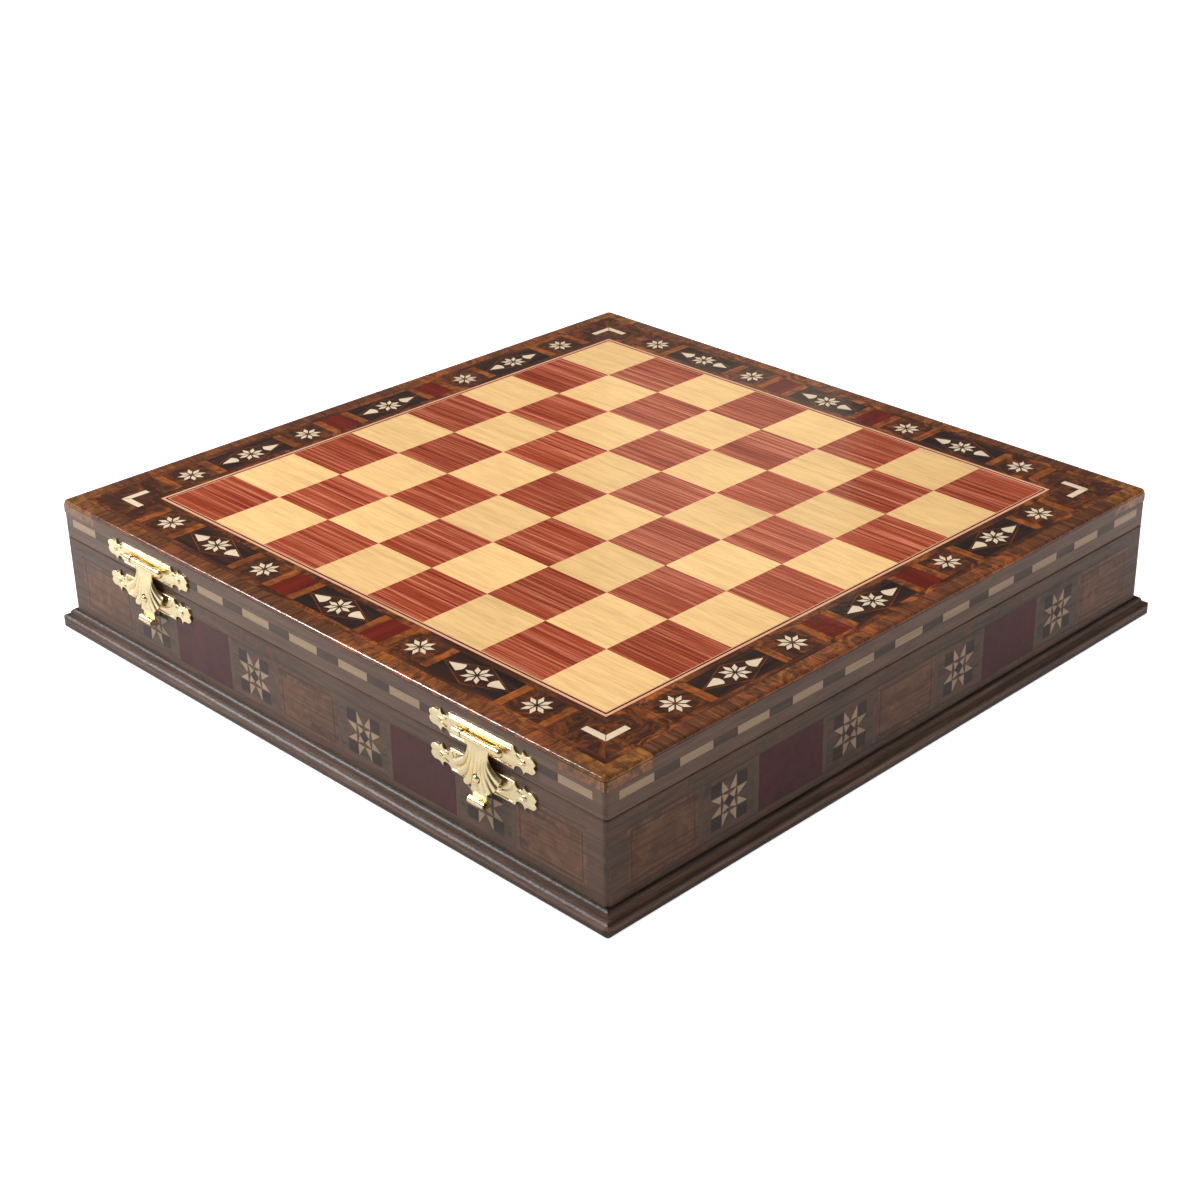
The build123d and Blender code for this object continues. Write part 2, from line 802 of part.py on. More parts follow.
# ---------------------------------------------------------------- lid: border
with BuildPart() as border_bands:
    top_strips((motif_start, lines_half), (banding_start, motif_end))
write(border_bands, "border_bands")

with BuildPart() as edge_banding:
    with BuildSketch(*all_turns(core_top)):
        tile(-cheek_start, cheek_start, -case_half, -banding_start, slack=0)
        tile(-case_half, case_half, -banding_start - glue_line / 2, -motif_end, mode=Mode.SUBTRACT)
    extrude(amount=top_layer)
    add(lid_form.part, mode=Mode.INTERSECT)
    add(joint_groove.part, mode=Mode.SUBTRACT)
write(edge_banding, "edge_banding")

with BuildPart() as corner_caps:
    with BuildSketch(*all_turns(core_top)):
        mitred_strip(case_half, banding_start + glue_line / 2)
        Rectangle(2 * (cheek_start + glue_line), 2 * case_half, mode=Mode.SUBTRACT)
    extrude(amount=top_layer)
    add(lid_form.part, mode=Mode.INTERSECT)
    add(joint_groove.part, mode=Mode.SUBTRACT)
    with BuildSketch(*all_sides(case_half)):
        cheeks()
    extrude(amount=-veneer)
write(corner_caps, "corner_caps")


def border_tiles(*cells):
    """Tiles as wide as the motif band, on both halves of one side of the border."""
    for x0, x1 in cells:
        for sign in two_sides:
            tile(sign * x0, sign * x1, -motif_end, -motif_start)


with BuildPart() as star_tiles:
    with BuildSketch(*all_turns(core_top)):
        border_tiles(*[(start, start + star_tile_length) for start in star_tile_starts])
        star_points(slack=glue_line, mode=Mode.SUBTRACT)
    extrude(amount=top_layer)
write(star_tiles, "border_star_tiles")

with BuildPart() as cross_bars:
    with BuildSketch(*all_turns(core_top)):
        border_tiles(*[(start, start + bar_width) for start in bar_starts])
    extrude(amount=top_layer)
write(cross_bars, "border_cross_bars")

with BuildPart() as red_tiles:
    with BuildSketch(*all_turns(core_top)):
        border_tiles((red_tile_start, bar_2))
    extrude(amount=top_layer)
write(red_tiles, "border_red_tiles")

with BuildPart() as lozenge_corners:
    with BuildSketch(*all_turns(core_top)):
        for x, _ in lozenge_centres:
            tile(x - lozenge_length / 2, x + lozenge_length / 2, -motif_end, -motif_start)
        lozenges(slack=-glue_line, mode=Mode.SUBTRACT)
    extrude(amount=top_layer)
write(lozenge_corners, "lozenge_corners")

with BuildPart() as lozenge_outlines:
    with BuildSketch(*all_turns(core_top)):
        lozenges()
        lozenges(slack=lozenge_line, mode=Mode.SUBTRACT)
    extrude(amount=top_layer)
write(lozenge_outlines, "lozenge_outlines")

with BuildPart() as lozenge_fields:
    with BuildSketch(*all_turns(core_top)):
        lozenges(slack=lozenge_line + glue_line)
        star_points(slack=glue_line, mode=Mode.SUBTRACT)
        drops(slack=glue_line, mode=Mode.SUBTRACT)
    extrude(amount=top_layer)
write(lozenge_fields, "lozenge_fields")

with BuildPart() as corner_tiles:
    with BuildSketch(*all_turns(core_top)):
        mitred_strip(motif_end - glue_line / 2, motif_start + glue_line / 2)
        Rectangle(2 * corner_tile + glue_line, 2 * case_half, mode=Mode.SUBTRACT)
        corner_strips(slack=glue_line, mode=Mode.SUBTRACT)
    extrude(amount=top_layer)
write(corner_tiles, "border_corner_tiles")

with BuildPart() as border_points:
    with BuildSketch(*all_turns(core_top)):
        star_points()
    extrude(amount=top_layer)
write(border_points, "border_star_points")

with BuildPart() as border_drops:
    with BuildSketch(*all_turns(core_top)):
        drops()
    extrude(amount=top_layer)
write(border_drops, "border_drops")

with BuildPart() as border_strips:
    with BuildSketch(*all_turns(core_top)):
        corner_strips()
    extrude(amount=top_layer)
write(border_strips, "border_corner_strips")


# ---------------------------------------------------------------- latches
def latch_plane(sign, out, height):
    """An upright plane facing out of the front, in the middle of one latch."""
    return Plane(
        origin=(sign * latch_offset, -case_half - out, height),
        x_dir=(1, 0, 0), z_dir=(0, -1, 0),
    )


def plate_outline():
    """A latch plate's outline, drawn as a quarter and mirrored twice."""
    with BuildLine() as quarter:
        Line((0, plate_corner[1]), plate_corner)
        here = plate_corner
        for middle, end in plate_arcs:
            ThreePointArc(here, middle, end)
            here = end
    half = quarter.edges() + [edge.mirror(Plane.YZ) for edge in quarter.edges()]
    make_face(half + [edge.mirror(Plane.XZ) for edge in half])


def plate_ribs(*rows):
    """Raised beads along a plate's straight middle."""
    with Locations(*[(0, row) for row in rows]):
        SlotOverall(2 * plate_rib_half, plate_rib_width)


rib_row = plate_corner[1] - plate_rib_inset - plate_rib_width / 2
boss_start = barrel_length / 2 + boss_gap
pin_half_length = boss_start + latch_pin_depth

other_waist = (-neck_waist[0], neck_waist[1])
other_shoulder = (-shell_shoulder[0], shell_shoulder[1])
other_foot = (-neck_foot[0], neck_foot[1])
flute_step = (180 - 2 * shell_edge_angle) / shell_flutes
flute_radius = shell_radius * sin(radians(flute_step / 2)) + shell_flute_bulge
flute_angles = [180 + shell_edge_angle + flute_step * (number + 0.5) for number in range(shell_flutes)]
flute_places = [
    (
        (shell_radius + shell_flute_bulge - flute_radius) * cos(radians(angle)),
        (shell_radius + shell_flute_bulge - flute_radius) * sin(radians(angle)) - shell_centre_drop,
    )
    for angle in flute_angles
]
groove_length = shell_radius + shell_flute_bulge - shell_groove_start
groove_middle = shell_groove_start + groove_length / 2
groove_start = 180 + shell_edge_angle + flute_step
groove_range = flute_step * (shell_flutes - 2)
tubes = (
    (barrel_length / 2, barrel_z, barrel_standoff, barrel_radius, latch_pin_radius + pin_running),
    (curl_length / 2, barrel_z - curl_drop, curl_standoff, curl_radius, curl_bore),
)

for sign, hand in zip(two_sides, ("left", "right")):
    with BuildPart() as upper_plate:
        with BuildSketch(latch_plane(sign, 0, upper_plate_z)):
            plate_outline()
        extrude(amount=latch_plate_thickness)
        with BuildSketch(latch_plane(sign, latch_plate_thickness, upper_plate_z)):
            plate_ribs(rib_row, -rib_row)
        extrude(amount=plate_rib_height)
        for end in two_sides:
            boss_foot = end_plane(
                sign * latch_offset + end * boss_start, -case_half - barrel_standoff, barrel_z, end
            )
            with BuildSketch(boss_foot):
                Circle(boss_radius)
            extrude(amount=boss_length - boss_nose)
            with BuildSketch(boss_foot.offset(boss_length - boss_nose)):
                Circle(boss_radius)
            extrude(amount=boss_nose, taper=boss_nose_taper)
            with BuildSketch(boss_foot):
                Circle(latch_pin_radius + pin_grip)
            extrude(amount=latch_pin_depth, mode=Mode.SUBTRACT)
        add(lid_nail_holes.part, mode=Mode.SUBTRACT)
    write(upper_plate, f"latch_upper_plate_{hand}")

    with BuildPart() as lower_plate:
        with BuildSketch(latch_plane(sign, 0, lower_plate_z)):
            plate_outline()
            with Locations((0, plate_corner[1] + notch_radius - notch_depth)):
                Circle(notch_radius, mode=Mode.SUBTRACT)
        extrude(amount=latch_plate_thickness)
        with BuildSketch(latch_plane(sign, latch_plate_thickness, lower_plate_z)):
            plate_ribs(-rib_row)
        extrude(amount=plate_rib_height)
        with BuildSketch(latch_plane(sign, latch_plate_thickness, stud_z)):
            Circle(stud_neck)
        extrude(amount=stud_height - latch_plate_thickness - stud_radius)
        with Locations((sign * latch_offset, -case_half - stud_height + stud_radius, stud_z)):
            Sphere(stud_radius)
        add(case_nail_holes.part, mode=Mode.SUBTRACT)
    write(lower_plate, f"latch_lower_plate_{hand}")

    with BuildPart() as tongue:
        with BuildSketch(latch_plane(sign, tongue_back, barrel_z)):
            with Locations((0, -shell_centre_drop)):
                Circle(shell_radius - flute_radius)
            tile(-shell_radius, shell_radius, neck_foot[1], shell_radius, 0, Mode.SUBTRACT)
            with BuildLine():
                Line((-tongue_top_half, 0), (tongue_top_half, 0))
                ThreePointArc((tongue_top_half, 0), neck_waist, shell_shoulder)
                Polyline(shell_shoulder, neck_foot, other_foot, other_shoulder)
                ThreePointArc(other_shoulder, other_waist, (-tongue_top_half, 0))
            make_face()
            with Locations(*flute_places):
                Circle(flute_radius)
            tile(-stem_half, stem_half, -shell_centre_drop, -curl_drop, slack=0)
            with Locations((0, -stud_drop)):
                Circle(stud_radius + stud_clearance, mode=Mode.SUBTRACT)
        extrude(amount=tongue_thickness)
        with BuildSketch(latch_plane(sign, tongue_back + tongue_thickness, barrel_z)):
            with Locations((0, -shell_centre_drop)):
                with PolarLocations(groove_middle, shell_flutes - 1, groove_start, groove_range):
                    Rectangle(groove_length, shell_groove_width)
        extrude(amount=-shell_groove_depth, mode=Mode.SUBTRACT)
        for half, height, out, radius, bore in tubes:
            tube_end = end_plane(sign * latch_offset - half, -case_half - out, height)
            with BuildSketch(tube_end):
                Circle(radius)
            extrude(amount=2 * half)
            with BuildSketch(tube_end):
                Circle(bore)
            extrude(amount=2 * half, mode=Mode.SUBTRACT)
    write(tongue, f"latch_tongue_{hand}")

with BuildPart() as latch_pins:
    for sign in two_sides:
        with BuildSketch(end_plane(sign * latch_offset, -case_half - barrel_standoff, barrel_z)):
            Circle(latch_pin_radius)
        extrude(amount=pin_half_length, both=True)
write(latch_pins, "latch_pins")

for height, node in ((upper_plate_z, "latch_nails_upper"), (lower_plate_z, "latch_nails_lower")):
    with BuildPart() as nails:
        nail_shanks(nail_radius, height)
        with BuildSketch(side_face(0, case_half + latch_plate_thickness)):
            with Locations(*[(x, height) for x in nail_places]):
                Circle(nail_head_radius)
        extrude(amount=nail_head_height)
        fillet(nails.faces().group_by(Axis.Y)[0].edges(), nail_head_round)
    write(nails, node)

# ---------------------------------------------------------------- hinges
knuckle_length = (hinge_length - (hinge_knuckles - 1) * hinge_knuckle_gap) / hinge_knuckles
knuckle_step = knuckle_length + hinge_knuckle_gap


def hinge_leaves(leaf_face, inwards, first, bore):
    """Both leaves of one half of the hinges: first is 0 or 1, its outermost knuckle."""
    for sign in two_sides:
        start = sign * hinge_offset - hinge_length / 2
        knuckles = [
            (start + number * knuckle_step, start + number * knuckle_step + knuckle_length)
            for number in range(first, hinge_knuckles, 2)
        ]
        with BuildSketch(Plane.XY.offset(leaf_face)) as leaf:
            tile(start, start + hinge_length, case_half - hinge_leaf_width, case_half, slack=0)
            for x0, x1 in knuckles:
                tile(x0, x1, case_half - hinge_leaf, hinge_axis_y, slack=0)
        extrude(leaf.sketch, amount=inwards * hinge_leaf)
        for x0, x1 in knuckles:
            end = end_plane(x0, hinge_axis_y, hinge_axis_z)
            with BuildSketch(end) as knuckle:
                Circle(hinge_knuckle_radius)
            extrude(knuckle.sketch, amount=x1 - x0)
            with BuildSketch(end) as hole:
                Circle(hinge_pin_radius + bore)
            extrude(hole.sketch, amount=x1 - x0, mode=Mode.SUBTRACT)


with BuildPart() as case_leaves:
    hinge_leaves(case_height, -1, 0, pin_grip)
    add(case_screw_holes.part, mode=Mode.SUBTRACT)
write(case_leaves, "hinge_leaves_case")

with BuildPart() as lid_leaves:
    hinge_leaves(lid_bottom, 1, 1, pin_running)
    add(lid_screw_holes.part, mode=Mode.SUBTRACT)
write(lid_leaves, "hinge_leaves_lid")

with BuildPart() as hinge_pins:
    for sign in two_sides:
        with BuildSketch(end_plane(sign * hinge_offset, hinge_axis_y, hinge_axis_z)):
            Circle(hinge_pin_radius)
        extrude(amount=hinge_length / 2, both=True)
write(hinge_pins, "hinge_pins")

for face, inwards, node in (
    (case_height, -1, "hinge_screws_case"),
    (lid_bottom, 1, "hinge_screws_lid"),
):
    with BuildPart() as screws:
        leaf_screws(face, inwards)
        with BuildSketch(Plane.XY.offset(face)):
            with Locations(*screw_places):
                Rectangle(2 * screw_head_radius, screw_slot_width)
        extrude(amount=inwards * screw_slot_depth, mode=Mode.SUBTRACT)
    write(screws, node)
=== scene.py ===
"""Dresses the chess box: woods, lacquer, brass latches, linings and the light around it."""

import json
import math

import bmesh
import bpy
from bpy.props import FloatProperty, FloatVectorProperty, IntProperty, PointerProperty
from mathutils import Matrix, Vector


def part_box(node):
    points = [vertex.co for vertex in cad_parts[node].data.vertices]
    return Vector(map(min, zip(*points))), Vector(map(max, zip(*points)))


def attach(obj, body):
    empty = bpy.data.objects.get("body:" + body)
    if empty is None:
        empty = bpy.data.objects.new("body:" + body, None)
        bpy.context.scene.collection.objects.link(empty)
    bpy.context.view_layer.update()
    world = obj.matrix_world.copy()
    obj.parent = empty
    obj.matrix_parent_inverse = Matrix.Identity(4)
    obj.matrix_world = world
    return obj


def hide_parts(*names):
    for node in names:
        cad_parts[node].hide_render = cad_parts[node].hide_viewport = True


bl_info = {
    "name": "Chess Box",
    "version": (1, 0, 0),
    "blender": (4, 5, 0),
    "location": "View3D > Sidebar > Chess Box",
    "description": "Builds the finishes, latches and linings of a marquetry chess box",
    "category": "Object",
}

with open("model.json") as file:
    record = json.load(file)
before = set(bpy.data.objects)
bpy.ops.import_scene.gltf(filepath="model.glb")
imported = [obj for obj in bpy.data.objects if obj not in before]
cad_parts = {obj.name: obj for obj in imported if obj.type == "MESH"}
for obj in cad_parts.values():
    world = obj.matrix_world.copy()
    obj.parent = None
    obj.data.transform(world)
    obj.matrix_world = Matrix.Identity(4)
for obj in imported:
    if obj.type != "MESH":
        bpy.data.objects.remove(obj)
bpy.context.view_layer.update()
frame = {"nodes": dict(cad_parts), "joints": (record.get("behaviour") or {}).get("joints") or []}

MM = 0.001
SIDES = ("front", "right", "back", "left")
HANDS = ("left", "right")
FRONT_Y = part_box("latch_upper_plate_left")[1][1]    # the face of the box behind the latches
BARREL_Z = frame["joints"][1]["pos_m"][2]           # the axis of the latches' barrels
WHITE = (1, 1, 1, 1)

# painted highlights on the moulding's rounds and painted shade in the groove under the sides: how bright
# each height is painted, from the floor up
FOOT_PAINTED_LIGHT = (
    (0.0, 0.8), (0.0030, 0.8), (0.0037, 1.6), (0.0045, 2.3), (0.0053, 2.0),
    (0.0059, 0.9), (0.0064, 0.7), (0.0067, 1.2), (0.0070, 2.1), (0.0075, 2.1),
    (0.0079, 0.9), (0.0088, 1.1), (0.0093, 1.0), (0.0097, 0.35), (0.0100, 0.3),
)
SQUARE_SIDE = 0.04          # the board's squares, each with a tint of its own
BARE_RIM = 0.0007           # the top of the case's veneer, which has no lacquer

# The latches in their own frame: X along, Y up and Z out of the box. Outlines and beads are
# in millimetres from the middle of a plate; a quarter of the outline is its corner and the
# arcs, each as (via, end), out to its tip.
PLATE_CORNER = (20.5, 5.8)
PLATE_ARCS = (
    ((21.4, 3.9), (23.4, 3.1)),
    ((25.6, 3.8), (26.2, 6.0)),
    ((27.6, 4.4), (29.6, 3.9)),
    ((32.0, 3.8), (33.4, 2.6)),
    ((33.9, 1.5), (32.9, 0.0)),
)
PLATE_NOTCH = (2.2, 6.1)    # depth and half width of the dip in the lower plate's top edge
BEAD_REACH = 19.4
UPPER_BEADS = (4.9, 3.7, -4.85)
LOWER_BEADS = (-4.85,)
# curved beads as (start, via, end): two beside the notch, and one at each corner of a tip
NOTCH_BEADS = (
    ((19.6, 4.6), (17.6, 0.6), (12.5, -1.6)),
    ((16.9, 4.7), (15.2, 1.9), (11.2, 0.4)),
)
TIP_BEAD = ((22.2, 2.2), (24.6, 1.21), (27.4, 1.1))
# the strip behind a shell that carries the curl
STEM_HALF, STEM_TOP, STEM_FOOT = 4.6, -20.0, -30.0
STEM_THICKNESS, STEM_EDGE = 0.8, 0.2
# Bezier points of the shell's right edge, from the barrel down to the fan
SHELL_EDGE = ((9.0, 0.0), (5.3, -2.6), (4.6, -10.2), (14.7, -13.0))

# the latches' other sizes, in metres
BOSS_START = 0.0093         # from the middle of the plate
BOSS_RIM = 0.0002           # rounding of a boss's inner end
BOSS_DOME = 0.86            # of its radius, rounding of its outer end
STUD_Z = 0.0438             # height of the snap studs above the floor
STUD_REACH = 0.006
STUD_NECK = 0.7             # of the stud's radius
NAIL_OUT = 0.027            # from the middle of the plate
NAIL_DOME = 0.55            # a nail's head is flattened to this share
SHANK_RADIUS, SHANK_DEPTH = 0.00065, 0.006
BARREL_BORE, CURL_BORE = 0.00085, 0.001
CURL_Y, CURL_OUT = -0.0302, 0.0043
STEM_LIFT = 0.0005
HOLE_Y, HOLE_RADIUS, HOLE_DEPTH = -0.0182, 0.0024, 0.02
SHELL_CELLS = (96, 43)
SHELL_TILT = math.radians(16)           # how far below level the sides of the fan start
SHELL_RADIUS, SHELL_DROP = 0.0153, 0.0088
SHELL_SCALLOP, SHELL_CROWN = 0.0006, 0.0005
FLUTES_START, FLUTES_RISE = 0.16, 0.5   # shares of the way down the tongue
SCALLOPS_START = 0.85

# the linings, in metres
WALL_VELVET = 0.001
SHEET_CELL = 0.008
SHEET_MARGIN = 0.0004
SHEET_SLACK = 0.00005

# the stage
FLOOR_HALF, FLOOR_DROP = 40.0, 0.0002
PAPER = (0.86, 0.86, 0.86, 1)
PAPER_GLOW = 0.72                       # seen by the camera only
HORIZON_LOW, HORIZON_HIGH = 0.02, 0.24  # where the white near the horizon fades, as shares of up
BOX_MIDDLE = (0, 0, 0.03)


def shade(red, green, blue):
    """A colour given as 0 to 255 on a screen, as the numbers that a shader takes."""
    return tuple(
        ((level / 255 + 0.055) / 1.055) ** 2.4 if level > 10 else level / 255 / 12.92
        for level in (red, green, blue)
    )


def colour_of(name, red, green, blue, description):
    return FloatVectorProperty(
        name=name, description=description, subtype="COLOR", size=3,
        default=shade(red, green, blue), min=0, max=1,
    )


def length_of(name, millimetres, description):
    return FloatProperty(
        name=name, description=description, subtype="DISTANCE", unit="LENGTH",
        default=millimetres * MM, min=0,
    )


def number_of(name, default, most, description, subtype="NONE"):
    return FloatProperty(
        name=name, description=description, subtype=subtype, default=default, min=0, max=most,
    )


# ---------------------------------------------------------------- what a user may change
class BoxWoods(bpy.types.PropertyGroup):
    light_square: colour_of("Light squares", 247, 201, 136, "Yellow wood of the light squares")
    red_square: colour_of("Red squares", 173, 75, 43, "Red wood of the dark squares")
    red_grain: colour_of("Red grain", 122, 36, 15, "Dark grain in the red squares")
    red_streak: colour_of("Red streaks", 220, 136, 104, "Light streaks in the red squares")
    walnut: colour_of("Walnut", 68, 38, 24, "Ground of the border tiles")
    burl: colour_of("Burl", 174, 94, 38, "Orange burl of bands and bars")
    banding: colour_of("Edge banding", 100, 59, 36, "Banding that carries the rounded edge")
    cap: colour_of("Corner caps", 156, 100, 48, "Yellow burl at the corners")
    ebony: colour_of("Ebony", 40, 27, 22, "Corners of the lozenges and dark lines")
    red_tile: colour_of("Red tiles", 108, 30, 14, "Red tiles of the border")
    inlay: colour_of("Inlay", 228, 205, 174, "Pale inlay of stars, drops and corners")
    stringing: colour_of("Stringing", 236, 172, 132, "Pale lines round the board")
    side: colour_of("Sides", 85, 65, 53, "Wood around the panels of the sides")
    side_burl: colour_of("Side burl", 94, 63, 46, "Burl panels of the sides")
    side_red: colour_of("Side red", 72, 27, 27, "Red panels of the sides")
    side_dark: colour_of("Side dark", 54, 41, 36, "Dark pieces of the sides")
    side_pale: colour_of("Side pale", 88, 69, 57, "Pale strips of the sides")
    side_star: colour_of("Side star", 164, 138, 110, "Points of the side stars")
    dash: colour_of("Dashes", 160, 134, 106, "Pale dashes on the lid's sides")
    foot: colour_of("Foot", 70, 52, 42, "Moulding at the foot")
    carcass: colour_of("Carcass", 104, 70, 46, "Plain wood inside the case and lid")


class BoxFinish(bpy.types.PropertyGroup):
    top_gloss: number_of("Top roughness", 0.09, 1, "Roughness of the lacquer on the lid", "FACTOR")
    side_gloss: number_of("Side roughness", 0.24, 1, "Roughness of the lacquer on the sides", "FACTOR")
    brass: colour_of("Brass", 249, 228, 182, "Polished brass of latches and hinges")
    lining: colour_of("Lining", 96, 18, 26, "Velvet inside the case and lid")
    felt: colour_of("Felt", 34, 48, 36, "Felt under the base")


class LatchSizes(bpy.types.PropertyGroup):
    plate: length_of("Plate", 1.0, "Thickness of a latch plate")
    plate_edge: length_of("Plate edge", 0.28, "Rounding of a latch plate's edges")
    bead: length_of("Bead", 0.42, "Radius of the raised beads on a plate")
    axis_out: length_of("Axis", 3.3, "From the face of the box to the barrel's axis")
    boss: length_of("Boss", 2.05, "Radius of the bosses beside the barrel")
    boss_long: length_of("Boss length", 7.0, "Length of a boss")
    barrel: length_of("Barrel", 1.55, "Radius of the tongue's barrel")
    barrel_long: length_of("Barrel length", 18.0, "Length of the tongue's barrel")
    tongue_back: length_of("Tongue back", 2.2, "From the face of the box to the back of the tongue")
    tongue: length_of("Tongue", 0.8, "Thickness of the tongue")
    flute: length_of("Flutes", 1.7, "Height of the shell's flutes")
    flutes: IntProperty(
        name="Number of flutes", description="Flutes across the shell", default=8, min=3, max=16,
    )
    curl: length_of("Curl", 1.9, "Radius of the curl that a finger lifts")
    curl_long: length_of("Curl length", 10.0, "Length of the curl")
    stud: length_of("Stud", 2.0, "Radius of the snap stud")
    nail: length_of("Nail head", 1.3, "Radius of a nail's head")


class LiningSizes(bpy.types.PropertyGroup):
    pile: length_of("Pile", 0.12, "Unevenness of the velvet")
    felt_pile: length_of("Felt pile", 0.05, "Unevenness of the felt")


class StageSettings(bpy.types.PropertyGroup):
    sky: number_of("Sky", 0.34, 4, "Strength of the even light")
    mirrored_sky: number_of("Mirrored sky", 0.06, 4, "Strength of the even light where it is mirrored")
    key: number_of("Key light", 27.0, 100, "Power of the large soft light")
    fill: number_of("Fill light", 12.0, 100, "Power of the second soft light")
    window: number_of("Window light", 0.15, 20, "Power of the faint light that the lacquer mirrors")


# ---------------------------------------------------------------- shader helpers
def with_alpha(value):
    """A colour of three numbers with its alpha; anything else as it is."""
    return (*value, 1) if isinstance(value, tuple) and len(value) == 3 else value


class Nodes:
    """A node tree being wired up, emptied first, with short ways to add nodes to it."""

    def __init__(self, owner):
        owner.use_nodes = True
        self.tree = owner.node_tree
        self.tree.nodes.clear()

    def feed(self, socket, value):
        """Links an output to a socket, or gives the socket a value."""
        if isinstance(value, bpy.types.NodeSocket):
            self.tree.links.new(value, socket)
        else:
            socket.default_value = value

    def add(self, kind, inputs, **settings):
        """A new node with its settings and inputs."""
        made = self.tree.nodes.new("ShaderNode" + kind)
        for key, value in settings.items():
            setattr(made, key, value)
        for key, value in inputs.items():
            self.feed(made.inputs[key], value)
        return made

    def put(self, kind, inputs=None, output=0, **settings):
        """One output of a new node."""
        return self.add(kind, inputs or {}, **settings).outputs[output]

    def math(self, operation, *values):
        return self.put("Math", dict(enumerate(values)), operation=operation)

    def place(self):
        return self.put("TexCoord", output="Object")

    def scaled(self, vector, scale):
        return self.put("Mapping", {"Vector": vector, "Scale": scale})

    def share_along(self, vector, direction):
        """How far a vector goes along a direction."""
        return self.put("VectorMath", {0: vector, 1: direction}, "Value", operation="DOT_PRODUCT")

    def noise(self, vector, scale, detail=4.0, rough=0.55, warp=0.0):
        return self.put("TexNoise", {
            "Vector": vector, "Scale": scale, "Detail": detail, "Roughness": rough, "Distortion": warp,
        })

    def ramp(self, value, *stops):
        """Colours between stops, each a position and a colour, in rising order."""
        made = self.add("ValToRGB", {0: value})
        marks = made.color_ramp.elements
        marks.remove(marks[-1])
        marks[0].position = stops[0][0]
        for position, colour in stops:
            mark = marks.new(position) if position > stops[0][0] else marks[0]
            mark.color = (*colour, 1)
        return made.outputs[0]

    def mask(self, value, low, high):
        return self.put("MapRange", {"Value": value, "From Min": low, "From Max": high})

    def mix(self, amount, first, second):
        """A mix of two colours; the sockets 6 and 7 are the ones for colours."""
        inputs = {0: amount, 6: with_alpha(first), 7: with_alpha(second)}
        return self.put("Mix", inputs, output=2, data_type="RGBA")

    def bump(self, height, strength, distance):
        return self.put("Bump", {"Height": height, "Strength": strength, "Distance": distance})


class Shader(Nodes):
    """A material being wired up round a Principled shader."""

    def __init__(self, name):
        self.material = bpy.data.materials.new(name)
        super().__init__(self.material)
        self.surface = self.add("BsdfPrincipled", {})
        self.add("OutputMaterial", {"Surface": self.surface.outputs[0]})

    def wire(self, **sockets):
        for name, value in sockets.items():
            self.feed(self.surface.inputs[name.replace("_", " ")], with_alpha(value))
        return self.material


def scaled_colour(colour, factor):
    return tuple(min(1.0, c * factor) for c in colour)


def chosen(group, *names):
    """The colours of those names as the user has set them."""
    return [tuple(getattr(group, name)) for name in names]


def along_side(shader):
    """Object coordinates turned so that X runs along whichever side of the box is nearest."""
    x, y, z = shader.add("SeparateXYZ", {0: shader.place()}).outputs
    beside = shader.math("GREATER_THAN", shader.math("ABSOLUTE", x), shader.math("ABSOLUTE", y))

    def pick(here, there):
        return shader.put("Mix", {0: beside, 2: here, 3: there}, data_type="FLOAT")

    return shader.put("CombineXYZ", {0: pick(x, y), 1: pick(y, x), 2: z})


